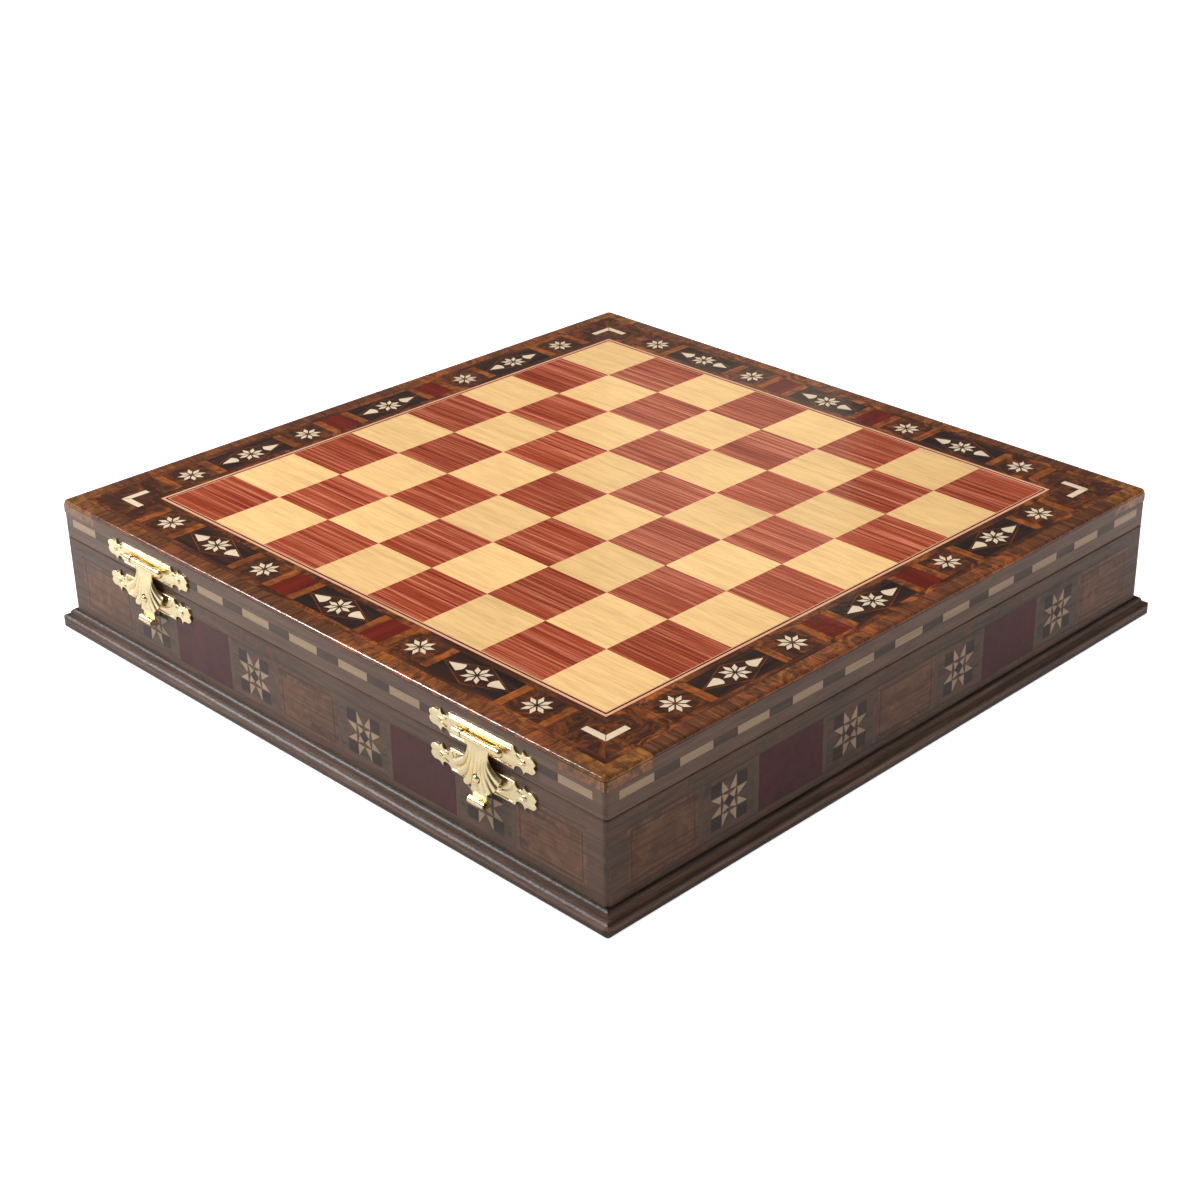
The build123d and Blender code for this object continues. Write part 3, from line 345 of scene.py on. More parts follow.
def wood(name, colour, dark, light, sides=False, across=False, streak=1.0, burl=0.0, burl_colour=None,
         tint=0.12, patch=0.0, cell=0.0, roughness=0.4, coat=1.0, coat_roughness=0.06, pores=0.5,
         pore_colour=None, ripple=0.12, grain=170, length=9, bare_above=None, spread=0.2, levels=()):
    """A lacquered wood: streaks and pores along the grain, clouds of burl and a tint of its own per tile.

    Painted light is pairs of a height and how bright a painted highlight or painted shade makes the wood
    there, from the lowest to the highest.
    """
    shader = Shader(name)
    place = along_side(shader) if sides else shader.place()
    if cell:
        snapped = shader.put("VectorMath", {0: place, 1: (cell, cell, 1)}, operation="SNAP")
        own = shader.put("TexWhiteNoise", {"Vector": snapped}, output="Color", noise_dimensions="3D")
        place = shader.put("VectorMath", {0: place, 1: own}, operation="ADD")
    stretch = (grain, length, grain) if across else (length, grain, grain)
    streaks = shader.noise(shader.scaled(place, stretch), 1.0, detail=6, rough=0.62, warp=0.35)
    fine = shader.noise(shader.scaled(place, [4 * s for s in stretch]), 1.0, detail=3, rough=0.5)
    clouds = shader.noise(place, 24.0, detail=3, rough=0.5, warp=0.8)
    body = shader.ramp(streaks, (0.5 - spread, dark), (0.5, colour), (0.5 + 1.1 * spread, light))
    body = shader.mix(streak, colour, body)
    if burl:
        swirl = shader.noise(place, 70.0, detail=8, rough=0.72, warp=2.2)
        spots = shader.mask(swirl, 0.5 - 0.1 * burl, 0.66 - 0.08 * burl)
        if patch:
            islands = shader.noise(place, patch, detail=2, rough=0.5, warp=0.5)
            spots = shader.math("MULTIPLY", spots, shader.mask(islands, 0.42, 0.58))
        body = shader.mix(spots, body, burl_colour or light)
    pored = shader.math("MULTIPLY", shader.mask(fine, 0.5, 0.64), pores)
    body = shader.mix(pored, body, pore_colour or dark)
    level = shader.math("ADD", shader.math("MULTIPLY", clouds, 2.2 * tint), 1 - 1.1 * tint)
    if cell:
        number = shader.math("SUBTRACT", shader.share_along(own, (1, 0, 0)), 0.5)
        level = shader.math("ADD", level, shader.math("MULTIPLY", number, 1.6 * tint))
    up = shader.share_along(place, (0, 0, 1))
    # painted highlights and painted shade, in bands by height
    if levels:
        top, most = levels[-1][0], max(bright for _, bright in levels)
        stops = [(height / top, (bright / most,) * 3) for height, bright in levels]
        lit = shader.math("MULTIPLY", shader.ramp(shader.math("DIVIDE", up, top), *stops), most)
        level = shader.math("MULTIPLY", level, lit)
    if bare_above:
        coat = shader.math("MULTIPLY", shader.math("LESS_THAN", up, bare_above), coat)
    return shader.wire(
        Base_Color=shader.put("HueSaturation", {"Color": body, "Value": level, "Fac": 1.0}),
        Roughness=roughness,
        Specular_IOR_Level=0.1,
        Normal=shader.bump(fine, 0.12, 0.00008),
        Coat_Weight=coat,
        Coat_Roughness=coat_roughness,
        Coat_IOR=1.42,
        Coat_Normal=shader.bump(shader.noise(place, 170.0, detail=3, rough=0.6), ripple, 0.0006),
    )


def dress(material, *nodes):
    """Gives the listed CAD nodes one material."""
    for node in nodes:
        mesh = frame["nodes"][node].data
        mesh.materials.clear()
        mesh.materials.append(material)


def veneer(name, colour, dark, light, *nodes, **looks):
    """Dresses CAD nodes in a wood; dark and light are colours, or shares of its colour."""
    dark, light = (
        tone if isinstance(tone, tuple) else scaled_colour(colour, tone) for tone in (dark, light)
    )
    dress(wood(name, colour, dark, light, **looks), *nodes)


def brass_material(name, colour, roughness):
    shader = Shader(name)
    place = shader.place()
    cloud = shader.noise(place, 120.0, detail=4, rough=0.6)
    fine = shader.noise(place, 900.0, detail=3)
    dulled = {"Value": cloud, "To Min": roughness - 0.06, "To Max": roughness + 0.1}
    return shader.wire(
        Base_Color=shader.ramp(cloud, (0.3, scaled_colour(colour, 0.82)), (0.6, colour)),
        Metallic=1.0,
        Roughness=shader.put("MapRange", dulled),
        Normal=shader.bump(shader.mix(0.2, cloud, fine), 0.12, 0.0002),
    )


# ---------------------------------------------------------------- mesh helpers
def latch_place(hand, height):
    """From a latch's own frame, X along, Y up and Z out of the box, to its place on the front."""
    low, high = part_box(f"latch_upper_plate_{hand}")
    middle = (low[0] + high[0]) / 2
    return Matrix.Translation((middle, FRONT_Y, height)) @ Matrix.Rotation(math.pi / 2, 4, "X")


def moved(shape, x=0.0, y=0.0, z=0.0):
    bmesh.ops.translate(shape, vec=(x, y, z), verts=shape.verts)
    return shape


def turned(shape, angle, axis):
    bmesh.ops.rotate(shape, matrix=Matrix.Rotation(angle, 3, axis), verts=shape.verts)
    return shape


def piece(name, shape, material, body, place=None, angle=35):
    """Turns a bmesh into a finished piece that rides on a body."""
    if place is not None:
        bmesh.ops.transform(shape, matrix=place, verts=shape.verts)
    mesh = bpy.data.meshes.new(name)
    shape.to_mesh(mesh)
    shape.free()
    mesh.shade_smooth()
    mesh.set_sharp_from_angle(angle=math.radians(angle))
    mesh.materials.append(material)
    made = bpy.data.objects.new(name, mesh)
    bpy.context.scene.collection.objects.link(made)
    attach(made, body)
    return made


def curve_shape(splines, extrude, bevel=0.0, flat=True, lift=0.0):
    """A bmesh of a curve, drawn in millimetres: filled and extruded when flat, a round bead when not.

    Each spline is a start and its (via, end) steps: an arc through via, or a straight run where
    via is None. A flat one ends where it starts.
    """
    curve = bpy.data.curves.new("outline", "CURVE")
    curve.dimensions = "2D" if flat else "3D"
    curve.fill_mode = "BOTH" if flat else "FULL"
    curve.resolution_u = 8
    curve.extrude = max(extrude / 2 - bevel, 0) if flat else 0
    curve.bevel_depth = bevel
    curve.bevel_resolution = 3
    curve.offset = -bevel if flat else 0
    curve.use_fill_caps = not flat
    for start, steps in splines:
        spline = curve.splines.new("BEZIER")
        spline.bezier_points.add(len(steps) - (1 if flat else 0))
        spline.use_cyclic_u = flat
        points = spline.bezier_points
        here = Vector((*start, 0))
        points[0].co = here
        for number, (via, end) in enumerate(steps):
            after = Vector((*end, 0))
            if via is None:
                leave, arrive = here.lerp(after, 1 / 3), here.lerp(after, 2 / 3)
            else:
                pull = 2 * Vector((*via, 0)) - (here + after) / 2
                leave, arrive = here.lerp(pull, 2 / 3), after.lerp(pull, 2 / 3)
            points[number].handle_right = leave
            following = points[(number + 1) % len(points)]
            following.co = after
            following.handle_left = arrive
            here = after
        if not flat:
            points[0].handle_left = points[0].co
            points[-1].handle_right = points[-1].co
    holder = bpy.data.objects.new("outline", curve)
    bpy.context.scene.collection.objects.link(holder)
    mesh = bpy.data.meshes.new_from_object(holder)
    shape = bmesh.new()
    shape.from_mesh(mesh)
    bpy.data.objects.remove(holder)
    bpy.data.curves.remove(curve)
    bpy.data.meshes.remove(mesh)
    bmesh.ops.remove_doubles(shape, verts=shape.verts, dist=0.00001)
    bmesh.ops.recalc_face_normals(shape, faces=shape.faces)
    bmesh.ops.scale(shape, vec=(MM, MM, MM), verts=shape.verts)
    return moved(shape, z=lift)


def join(target, *others):
    """Adds the other shapes to the first one."""
    for other in others:
        mesh = bpy.data.meshes.new("joined")
        other.to_mesh(mesh)
        other.free()
        target.from_mesh(mesh)
        bpy.data.meshes.remove(mesh)
    return target


def rod(radius, length, round_ends=(0.0, 0.0)):
    """A round bar from X = 0 to X = length, with rounded ends."""
    shape = bmesh.new()
    bmesh.ops.create_cone(
        shape, cap_ends=True, segments=32, radius1=radius, radius2=radius, depth=length,
        matrix=Matrix.Translation((length / 2, 0, 0)) @ Matrix.Rotation(math.pi / 2, 4, "Y"),
    )
    for end, rounding in zip((0.0, length), round_ends):
        if rounding:
            rim = [e for e in shape.edges if all(abs(v.co.x - end) < 1e-6 for v in e.verts)]
            bmesh.ops.bevel(
                shape, geom=rim, offset=rounding, segments=5, affect="EDGES", profile=0.5,
                material=-1,
            )
    return shape


def post(radius, foot, length):
    """A round bar standing out of the box, from Z = foot."""
    return moved(turned(rod(radius, length), -math.pi / 2, "Y"), z=foot)


def ball(radius, segments):
    shape = bmesh.new()
    bmesh.ops.create_uvsphere(shape, u_segments=segments, v_segments=segments // 2, radius=radius)
    return shape


def tube(radius, bore, length):
    """A sheet rolled into a tube from X = 0 to X = length."""
    shape = bmesh.new()
    section = [(0, bore, 0), (length, bore, 0), (length, radius, 0), (0, radius, 0)]
    wall = shape.faces.new([shape.verts.new(corner) for corner in section])
    bmesh.ops.spin(
        shape, geom=[wall], axis=(1, 0, 0), cent=(0, 0, 0), steps=40, angle=math.radians(360),
        use_merge=True,
    )
    bmesh.ops.remove_doubles(shape, verts=shape.verts, dist=1e-6)
    # the spin leaves a face inside the wall, where it starts and ends
    most_of_wall = length * (radius - bore) * 0.9
    inner = [
        f for f in shape.faces
        if abs(f.calc_center_median().z) < 1e-7 and abs(f.normal.z) > 0.99
        and len(f.verts) == 4 and f.calc_area() > most_of_wall
    ]
    bmesh.ops.delete(shape, geom=inner, context="FACES_ONLY")
    bmesh.ops.recalc_face_normals(shape, faces=shape.faces)
    return shape


def flipped(points, across, up):
    """Points of a plate mirrored across or up where the factor is -1."""
    return [(x * across, y * up) for x, y in points]


def plate_outline(notch=None):
    """The outline of a latch plate, with or without a notch in its top edge, as one spline."""
    across, up = PLATE_CORNER
    ends = [PLATE_CORNER] + [end for _, end in PLATE_ARCS]
    inwards = [(via, end) for (via, _), end in zip(PLATE_ARCS, ends)][::-1]
    steps = [(None, PLATE_CORNER), *PLATE_ARCS]
    steps += [flipped(step, 1, -1) for step in inwards]
    steps += [(None, (-across, -up))]
    steps += [flipped(step, -1, -1) for step in PLATE_ARCS]
    steps += [flipped(step, -1, 1) for step in inwards]
    if not notch:
        return (-across, up), steps
    depth, half = notch
    bottom, side, level = (0, up - depth), half * 0.55, up - depth * 0.75
    dip_out, dip_in = ((side, level), (half, up)), ((-side, level), bottom)
    return bottom, [dip_out, *steps, (None, (-half, up)), dip_in]


def plate_beads(straight, curved, radius, lift):
    """Round beads standing on a plate: straight ones, pairs of curved ones and those at the tips."""
    runs = [((-BEAD_REACH, y), [(None, (BEAD_REACH, y))]) for y in straight]
    bends = [flipped(bend, side, 1) for bend in curved for side in (-1, 1)]
    bends += [flipped(TIP_BEAD, side, up) for side in (-1, 1) for up in (1, -1)]
    runs += [(start, [(via, end)]) for start, via, end in bends]
    return curve_shape(runs, 0, bevel=radius / MM, flat=False, lift=lift)


# ---------------------------------------------------------------- woods of the top
class BOX_OT_board(bpy.types.Operator):
    """Light and red squares and the lines round them"""

    bl_idname = "box.board"
    bl_label = "Chess board"

    def execute(self, context):
        light, line, ebony = chosen(context.scene.box_woods, "light_square", "stringing", "ebony")
        red, red_grain, red_streak = chosen(
            context.scene.box_woods, "red_square", "red_grain", "red_streak",
        )
        lacquer = {"coat_roughness": context.scene.box_finish.top_gloss}
        veneer(
            "LightSquareWood", light, 0.82, 1.1, "light_squares", streak=0.9, tint=0.09,
            cell=SQUARE_SIDE, pore_colour=scaled_colour(light, 0.72), grain=230, length=14, **lacquer,
        )
        veneer(
            "RedSquareWood", red, red_grain, red_streak, "red_squares", spread=0.15,
            cell=SQUARE_SIDE, pores=0.7, pore_colour=red_grain, grain=640, length=8, **lacquer,
        )
        veneer(
            "StringingWood", line, 0.8, 1.1, "board_pale_lines", sides=True, streak=0.6, tint=0.05,
            pores=0.15, **lacquer,
        )
        veneer("EbonyLine", ebony, 0.6, 1.5, "board_dark_line", sides=True, **lacquer)
        return {"FINISHED"}


class BOX_OT_border(bpy.types.Operator):
    """Bands, tiles, stars, lozenges and corners of the lid's border"""

    bl_idname = "box.border"
    bl_label = "Border"

    def execute(self, context):
        walnut, burl, ebony, banding, cap, inlay, red = chosen(
            context.scene.box_woods,
            "walnut", "burl", "ebony", "banding", "cap", "inlay", "red_tile",
        )
        lacquer = {"coat_roughness": context.scene.box_finish.top_gloss}
        along = {"sides": True, **lacquer}
        across = {"across": True, **along}
        veneer(
            "BandWood", walnut, 0.55, 2.2, "border_bands", burl=0.75, burl_colour=burl, patch=15.0,
            tint=0.22, grain=320, length=16, **along,
        )
        veneer(
            "EdgeBandingWood", banding, 0.38, 2.0, "edge_banding", burl=0.7, burl_colour=burl,
            patch=11.0, tint=0.22, pores=0.8, grain=480, length=14, ripple=0.5, **across,
        )
        veneer(
            "CornerCapBurl", cap, 0.3, 1.2, "corner_caps", burl=0.8,
            burl_colour=scaled_colour(banding, 0.8), tint=0.24, grain=320, length=16, **across,
        )
        veneer(
            "WalnutTile", walnut, 0.55, 1.7, "border_star_tiles", "border_corner_tiles", burl=0.25,
            burl_colour=scaled_colour(burl, 0.55), tint=0.2, grain=320, length=16, **across,
        )
        veneer(
            "LozengeWood", scaled_colour(walnut, 0.9), scaled_colour(walnut, 0.5),
            scaled_colour(walnut, 1.4), "lozenge_fields", tint=0.16, **along,
        )
        veneer(
            "EbonyCorner", scaled_colour(ebony, 1.3), scaled_colour(ebony, 0.6),
            scaled_colour(walnut, 1.3), "lozenge_corners", tint=0.15, **along,
        )
        veneer(
            "BarBurl", scaled_colour(burl, 0.45), scaled_colour(walnut, 0.9), scaled_colour(burl, 0.8),
            "border_cross_bars", burl=0.6, burl_colour=scaled_colour(burl, 0.95), tint=0.24, **across,
        )
        veneer(
            "OutlineWood", scaled_colour(burl, 0.4), scaled_colour(burl, 0.2),
            scaled_colour(burl, 0.6), "lozenge_outlines", tint=0.1, **along,
        )
        veneer("RedTileWood", red, 0.5, 1.35, "border_red_tiles", tint=0.14, **across)
        veneer(
            "InlayWood", inlay, 0.82, 1.06, "border_star_points", "border_drops",
            "border_corner_strips", streak=0.7, tint=0.05, pores=0.12, **lacquer,
        )
        return {"FINISHED"}


# ---------------------------------------------------------------- woods of the sides
class BOX_OT_sides(bpy.types.Operator):
    """Veneers, panels, stars and dashes of the sides, and the moulding at their foot"""

    bl_idname = "box.sides"
    bl_label = "Sides"

    def execute(self, context):
        side, burl, red, dark, pale, star, dash, foot = chosen(
            context.scene.box_woods,
            "side", "side_burl", "side_red", "side_dark", "side_pale", "side_star", "dash", "foot",
        )
        gloss = context.scene.box_finish.side_gloss
        satin = {"sides": True, "coat": 0.6, "coat_roughness": gloss, "roughness": 0.5}
        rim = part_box("case_side_veneer")[1][2] - BARE_RIM
        veneer(
            "SideVeneer", side, 0.55, 1.45, "case_side_veneer", tint=0.26, burl=0.15,
            burl_colour=scaled_colour(burl, 1.1), bare_above=rim, **satin,
        )
        veneer(
            "LidSideVeneer", scaled_colour(side, 1.5), scaled_colour(side, 0.85),
            scaled_colour(side, 1.9), "lid_side_veneer", tint=0.16, **satin,
        )
        veneer(
            "SideBurl", burl, 0.5, 1.45, "case_burl_panels", burl=0.5,
            burl_colour=scaled_colour(burl, 1.5), tint=0.3, **satin,
        )
        veneer("SideRed", red, 0.7, 1.25, "case_red_panels", pores=0.3, across=True, **satin)
        veneer("SidePale", pale, 0.75, 1.2, "case_pale_strips", across=True, tint=0.1, **satin)
        veneer("SideDark", dark, 0.6, 1.5, "case_star_squares", tint=0.1, **satin)
        veneer(
            "QuietDark", scaled_colour(side, 0.8), scaled_colour(side, 0.5),
            scaled_colour(side, 1.1), "case_panel_lines", "lid_side_blocks", **satin,
        )
        veneer("SideStar", star, 0.78, 1.15, "case_star_points", tint=0.42, pores=0.25, **satin)
        veneer("DashWood", dash, 0.8, 1.12, "lid_side_dashes", tint=0.08, pores=0.2, **satin)
        # the moulding's wood with painted highlights on its rounds and painted shade in the groove under
        # the sides
        veneer(
            "FootWood", foot, 0.5, 1.9, *[f"base_moulding_{name}" for name in SIDES], sides=True,
            tint=0.2, roughness=0.45, coat=0.7, grain=320, length=16, coat_roughness=gloss * 1.7,
            ripple=0.8, levels=FOOT_PAINTED_LIGHT,
        )
        return {"FINISHED"}


class BOX_OT_inside(bpy.types.Operator):
    """Plain wood of walls, rails, panels and divider"""

    bl_idname = "box.inside"
    bl_label = "Inside wood"

    def execute(self, context):
        plain, = chosen(context.scene.box_woods, "carcass")
        veneer(
            "CarcassWood", plain, 0.6, 1.35,
            *[f"case_wall_{name}" for name in SIDES], *[f"lid_rail_{name}" for name in SIDES],
            "bottom_panel", "lid_panel", "divider",
            sides=True, tint=0.14, roughness=0.5, coat=0.25, coat_roughness=0.3,
        )
        return {"FINISHED"}


# ---------------------------------------------------------------- brass
class BOX_OT_hinges(bpy.types.Operator):
    """Brass of the hinges, their pins and screws, and the pins of the latches"""

    bl_idname = "box.hinges"
    bl_label = "Hinges and pins"

    def execute(self, context):
        brass, = chosen(context.scene.box_finish, "brass")
        dress(
            brass_material("HingeBrass", brass, 0.26),
            "hinge_leaves_case", "hinge_leaves_lid", "hinge_pins", "hinge_screws_case",
            "hinge_screws_lid", "latch_pins",
        )
        return {"FINISHED"}


def latch_bosses(sizes, up):
    """The two bosses beside a barrel that lies up from the middle of the plate."""
    bosses = []
    for angle in (math.pi, 0):
        boss = rod(sizes.boss, sizes.boss_long, round_ends=(BOSS_RIM, sizes.boss * BOSS_DOME))
        moved(boss, x=BOSS_START)
        if angle:
            turned(boss, angle, "Z")
        bosses.append(moved(boss, y=up, z=sizes.axis_out))
    return bosses


def snap_stud(sizes, up):
    """A stud on its neck, up from the middle of the plate."""
    out = STUD_REACH - sizes.stud
    inside = sizes.plate / 2
    neck = post(sizes.stud * STUD_NECK, inside, out - inside)
    return moved(join(neck, moved(ball(sizes.stud, 32), z=out)), y=up)


class BOX_OT_latch_plates(bpy.types.Operator):
    """Both plates of both latches, with their beads, bosses and studs"""

    bl_idname = "box.latch_plates"
    bl_label = "Latch plates"

    def execute(self, context):
        sizes = context.scene.latch_sizes
        colour, = chosen(context.scene.box_finish, "brass")
        brass = brass_material("LatchBrass", colour, 0.27)
        thick, edge = sizes.plate, sizes.plate_edge
        for hand in HANDS:
            for level, body, notch, straight, curved in (
                ("upper", "lid", None, UPPER_BEADS, ()),
                ("lower", "case", PLATE_NOTCH, LOWER_BEADS, NOTCH_BEADS),
            ):
                low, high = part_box(f"latch_nails_{level}")
                height = (low[2] + high[2]) / 2
                plate = curve_shape([plate_outline(notch)], thick / MM, edge / MM, lift=thick / 2)
                join(plate, plate_beads(straight, curved, sizes.bead, thick))
                if level == "upper":
                    join(plate, *latch_bosses(sizes, BARREL_Z - height))
                else:
                    join(plate, snap_stud(sizes, STUD_Z - height))
                made = piece(
                    f"latch_{level}_plate_{hand}_brass", plate, brass, body,
                    latch_place(hand, height), angle=40,
                )
                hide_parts(f"latch_{level}_plate_{hand}")
        return {"FINISHED"}


class BOX_OT_latch_nails(bpy.types.Operator):
    """Domed nails that hold the latch plates"""

    bl_idname = "box.latch_nails"
    bl_label = "Latch nails"

    def execute(self, context):
        sizes = context.scene.latch_sizes
        brass = brass_material("NailBrass", scaled_colour(context.scene.box_finish.brass, 0.8), 0.24)
        for node, body in (("latch_nails_upper", "lid"), ("latch_nails_lower", "case")):
            low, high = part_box(node)
            nails = bmesh.new()
            for hand in HANDS:
                place = latch_place(hand, (low[2] + high[2]) / 2)
                for out in (-NAIL_OUT, NAIL_OUT):
                    head = ball(sizes.nail, 24)
                    bmesh.ops.scale(head, vec=(1, 1, NAIL_DOME), verts=head.verts)
                    moved(head, x=out, z=sizes.plate)
                    shank = post(SHANK_RADIUS, -SHANK_DEPTH, SHANK_DEPTH + sizes.plate)
                    join(head, moved(shank, x=out))
                    bmesh.ops.transform(head, matrix=place, verts=head.verts)
                    join(nails, head)
            made = piece(f"{node}_brass", nails, brass, body, angle=40)
            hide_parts(node)
        return {"FINISHED"}


def shell_form(sizes):
    """The tongue from its barrel to the edge of its shell: a sheet that narrows and opens into flutes."""
    sheet = bmesh.new()
    columns, rows = SHELL_CELLS
    bmesh.ops.create_grid(sheet, x_segments=columns, y_segments=rows, size=1.0)
    top, waist_1, waist_2, foot = (Vector(point) * MM for point in SHELL_EDGE)
    level = math.sin(SHELL_TILT)
    for vert in sheet.verts:
        across, t = (vert.co.x + 1) / 2, (1 - vert.co.y) / 2
        edge = (
            (1 - t) ** 3 * top + 3 * (1 - t) ** 2 * t * waist_1 + 3 * (1 - t) * t * t * waist_2
            + t ** 3 * foot
        )
        angle = math.pi + SHELL_TILT + (math.pi - 2 * SHELL_TILT) * across
        spread = math.cos(angle) / math.cos(SHELL_TILT)
        belly = (-math.sin(angle) - level) / (1 - level)
        middle = -(SHELL_RADIUS + SHELL_DROP) * t
        wave = abs(math.sin(math.pi * sizes.flutes * across))
        grown = min(1.0, max(0.0, (t - FLUTES_START) / FLUTES_RISE))
        grown = grown * grown * (3 - 2 * grown)
        rimward = max(0.0, (t - SCALLOPS_START) / (1 - SCALLOPS_START))
        reach = 1 + SHELL_SCALLOP / SHELL_RADIUS * wave ** 0.8 * rimward
        height = sizes.flute * grown * wave ** 0.55 * (0.55 + 0.45 * t)
        crown = SHELL_CROWN * belly * grown * (1 - 0.55 * t)
        y = edge.y + (middle - edge.y) * belly
        vert.co = Vector((edge.x * spread * reach, y * reach, height + crown))
    bmesh.ops.recalc_face_normals(sheet, faces=sheet.faces)
    if sum(f.normal.z for f in sheet.faces) < 0:
        bmesh.ops.reverse_faces(sheet, faces=sheet.faces)
    return moved(sheet, z=sizes.tongue_back + sizes.tongue)


def tongue_rolls(sizes):
    """The barrel, the curl and the strip between the shell and the curl."""
    barrel = tube(sizes.barrel, BARREL_BORE, sizes.barrel_long)
    moved(barrel, -sizes.barrel_long / 2, 0, sizes.axis_out)
    curl = tube(sizes.curl, CURL_BORE, sizes.curl_long)
    moved(curl, -sizes.curl_long / 2, CURL_Y, CURL_OUT)
    corners = (
        (STEM_HALF, STEM_TOP), (STEM_HALF, STEM_FOOT), (-STEM_HALF, STEM_FOOT), (-STEM_HALF, STEM_TOP),
    )
    stem = curve_shape(
        [(corners[-1], [(None, corner) for corner in corners])], STEM_THICKNESS, STEM_EDGE,
        lift=sizes.tongue_back + STEM_LIFT,
    )
    return join(barrel, curl, stem)


class BOX_OT_latch_tongues(bpy.types.Operator):
    """Fluted tongues of the latches, with their barrels and curls"""

    bl_idname = "box.latch_tongues"
    bl_label = "Latch tongues"

    def execute(self, context):
        sizes = context.scene.latch_sizes
        colour, = chosen(context.scene.box_finish, "brass")
        brass = brass_material("TongueBrass", colour, 0.24)
        for hand in HANDS:
            body, place = f"tongue_{hand}", latch_place(hand, BARREL_Z)
            made = piece(
                f"latch_tongue_{hand}_shell", shell_form(sizes), brass, body, place, angle=50,
            )
            bore = bmesh.new()
            bmesh.ops.create_cone(
                bore, cap_ends=True, segments=48, radius1=HOLE_RADIUS, radius2=HOLE_RADIUS,
                depth=HOLE_DEPTH, matrix=Matrix.Translation((0, HOLE_Y, 0)),
            )
            cut = piece(f"stud_hole_{hand}", bore, brass, body, place)
            wall = made.modifiers.new("Wall", "SOLIDIFY")
            wall.thickness = sizes.tongue
            wall.offset = -1
            hole = made.modifiers.new("StudHole", "BOOLEAN")
            hole.operation = "DIFFERENCE"
            hole.solver = "EXACT"
            hole.object = cut
            bpy.context.view_layer.update()
            depsgraph = bpy.context.evaluated_depsgraph_get()
            ready = bpy.data.meshes.new_from_object(made.evaluated_get(depsgraph))
            made.modifiers.clear()
            made.data = ready
            ready.set_sharp_from_angle(angle=math.radians(50))
            bpy.data.objects.remove(cut)
            roll = piece(
                f"latch_tongue_{hand}_rolls", tongue_rolls(sizes), brass, body, place, angle=40,
            )
            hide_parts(f"latch_tongue_{hand}")
            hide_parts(f"latch_tongue_{hand}")
        return {"FINISHED"}


# ---------------------------------------------------------------- cloth
def cloth_material(name, colour, pile_scale, sheen):
    shader = Shader(name)
    place = shader.place()
    nap = shader.noise(place, pile_scale, detail=3, rough=0.7)
    clouds = shader.noise(place, 30.0, detail=3, rough=0.5, warp=0.6)
    tone = shader.ramp(clouds, (0.3, scaled_colour(colour, 0.88)), (0.68, scaled_colour(colour, 1.08)))
    return shader.wire(
        Base_Color=shader.mix(shader.mask(nap, 0.35, 0.75), scaled_colour(colour, 0.6), tone),
        Roughness=0.9,
        Sheen_Weight=sheen,
        Sheen_Roughness=0.4,
        Sheen_Tint=scaled_colour(colour, 2.2),
        Normal=shader.bump(nap, 0.6, 0.0004),
    )


def cloth_sheet(name, node, material, body, box, pile, seed):
    """A thin sheet that fills a box in place of a node, flat along the two long sides of the box."""
    low, high = box
    sizes = [b - a for a, b in zip(low, high)]
    thin = sizes.index(min(sizes))
    first, second = [axis for axis in range(3) if axis != thin]
    sheet = bmesh.new()
    columns, rows = (max(2, round(sizes[axis] / SHEET_CELL)) for axis in (first, second))
    bmesh.ops.create_grid(sheet, x_segments=columns, y_segments=rows, size=0.5)
    reach = [sizes[axis] - SHEET_MARGIN for axis in (first, second)]
    bmesh.ops.scale(sheet, vec=(*reach, 1), verts=sheet.verts)
    for vert in sheet.verts:
        x, y = vert.co.x, vert.co.y
        # long waves both ways and a shorter one, together never more than 1.5
        wave = math.sin(x * 61 + seed) * math.cos(y * 47 + seed * 1.7) + 0.5 * math.sin(y * 131)
        vert.co.z += pile * wave / 1.5
    axes = [Vector((0, 0, 0)) for _ in range(3)]
    for own, axis in zip(axes, (first, second, thin)):
        own[axis] = 1
    bmesh.ops.rotate(sheet, matrix=Matrix(axes).transposed(), verts=sheet.verts)
    bmesh.ops.recalc_face_normals(sheet, faces=sheet.faces)
    thickness = sizes[thin] - 2 * pile - SHEET_SLACK
    bmesh.ops.solidify(sheet, geom=sheet.faces, thickness=thickness)
    middle = [sum(v.co[axis] for v in sheet.verts) / len(sheet.verts) for axis in range(3)]
    moved(sheet, *[(a + b) / 2 - m for a, b, m in zip(low, high, middle)])
    bmesh.ops.recalc_face_normals(sheet, faces=sheet.faces)
    made = piece(name, sheet, material, body, angle=60)
    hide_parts(node)


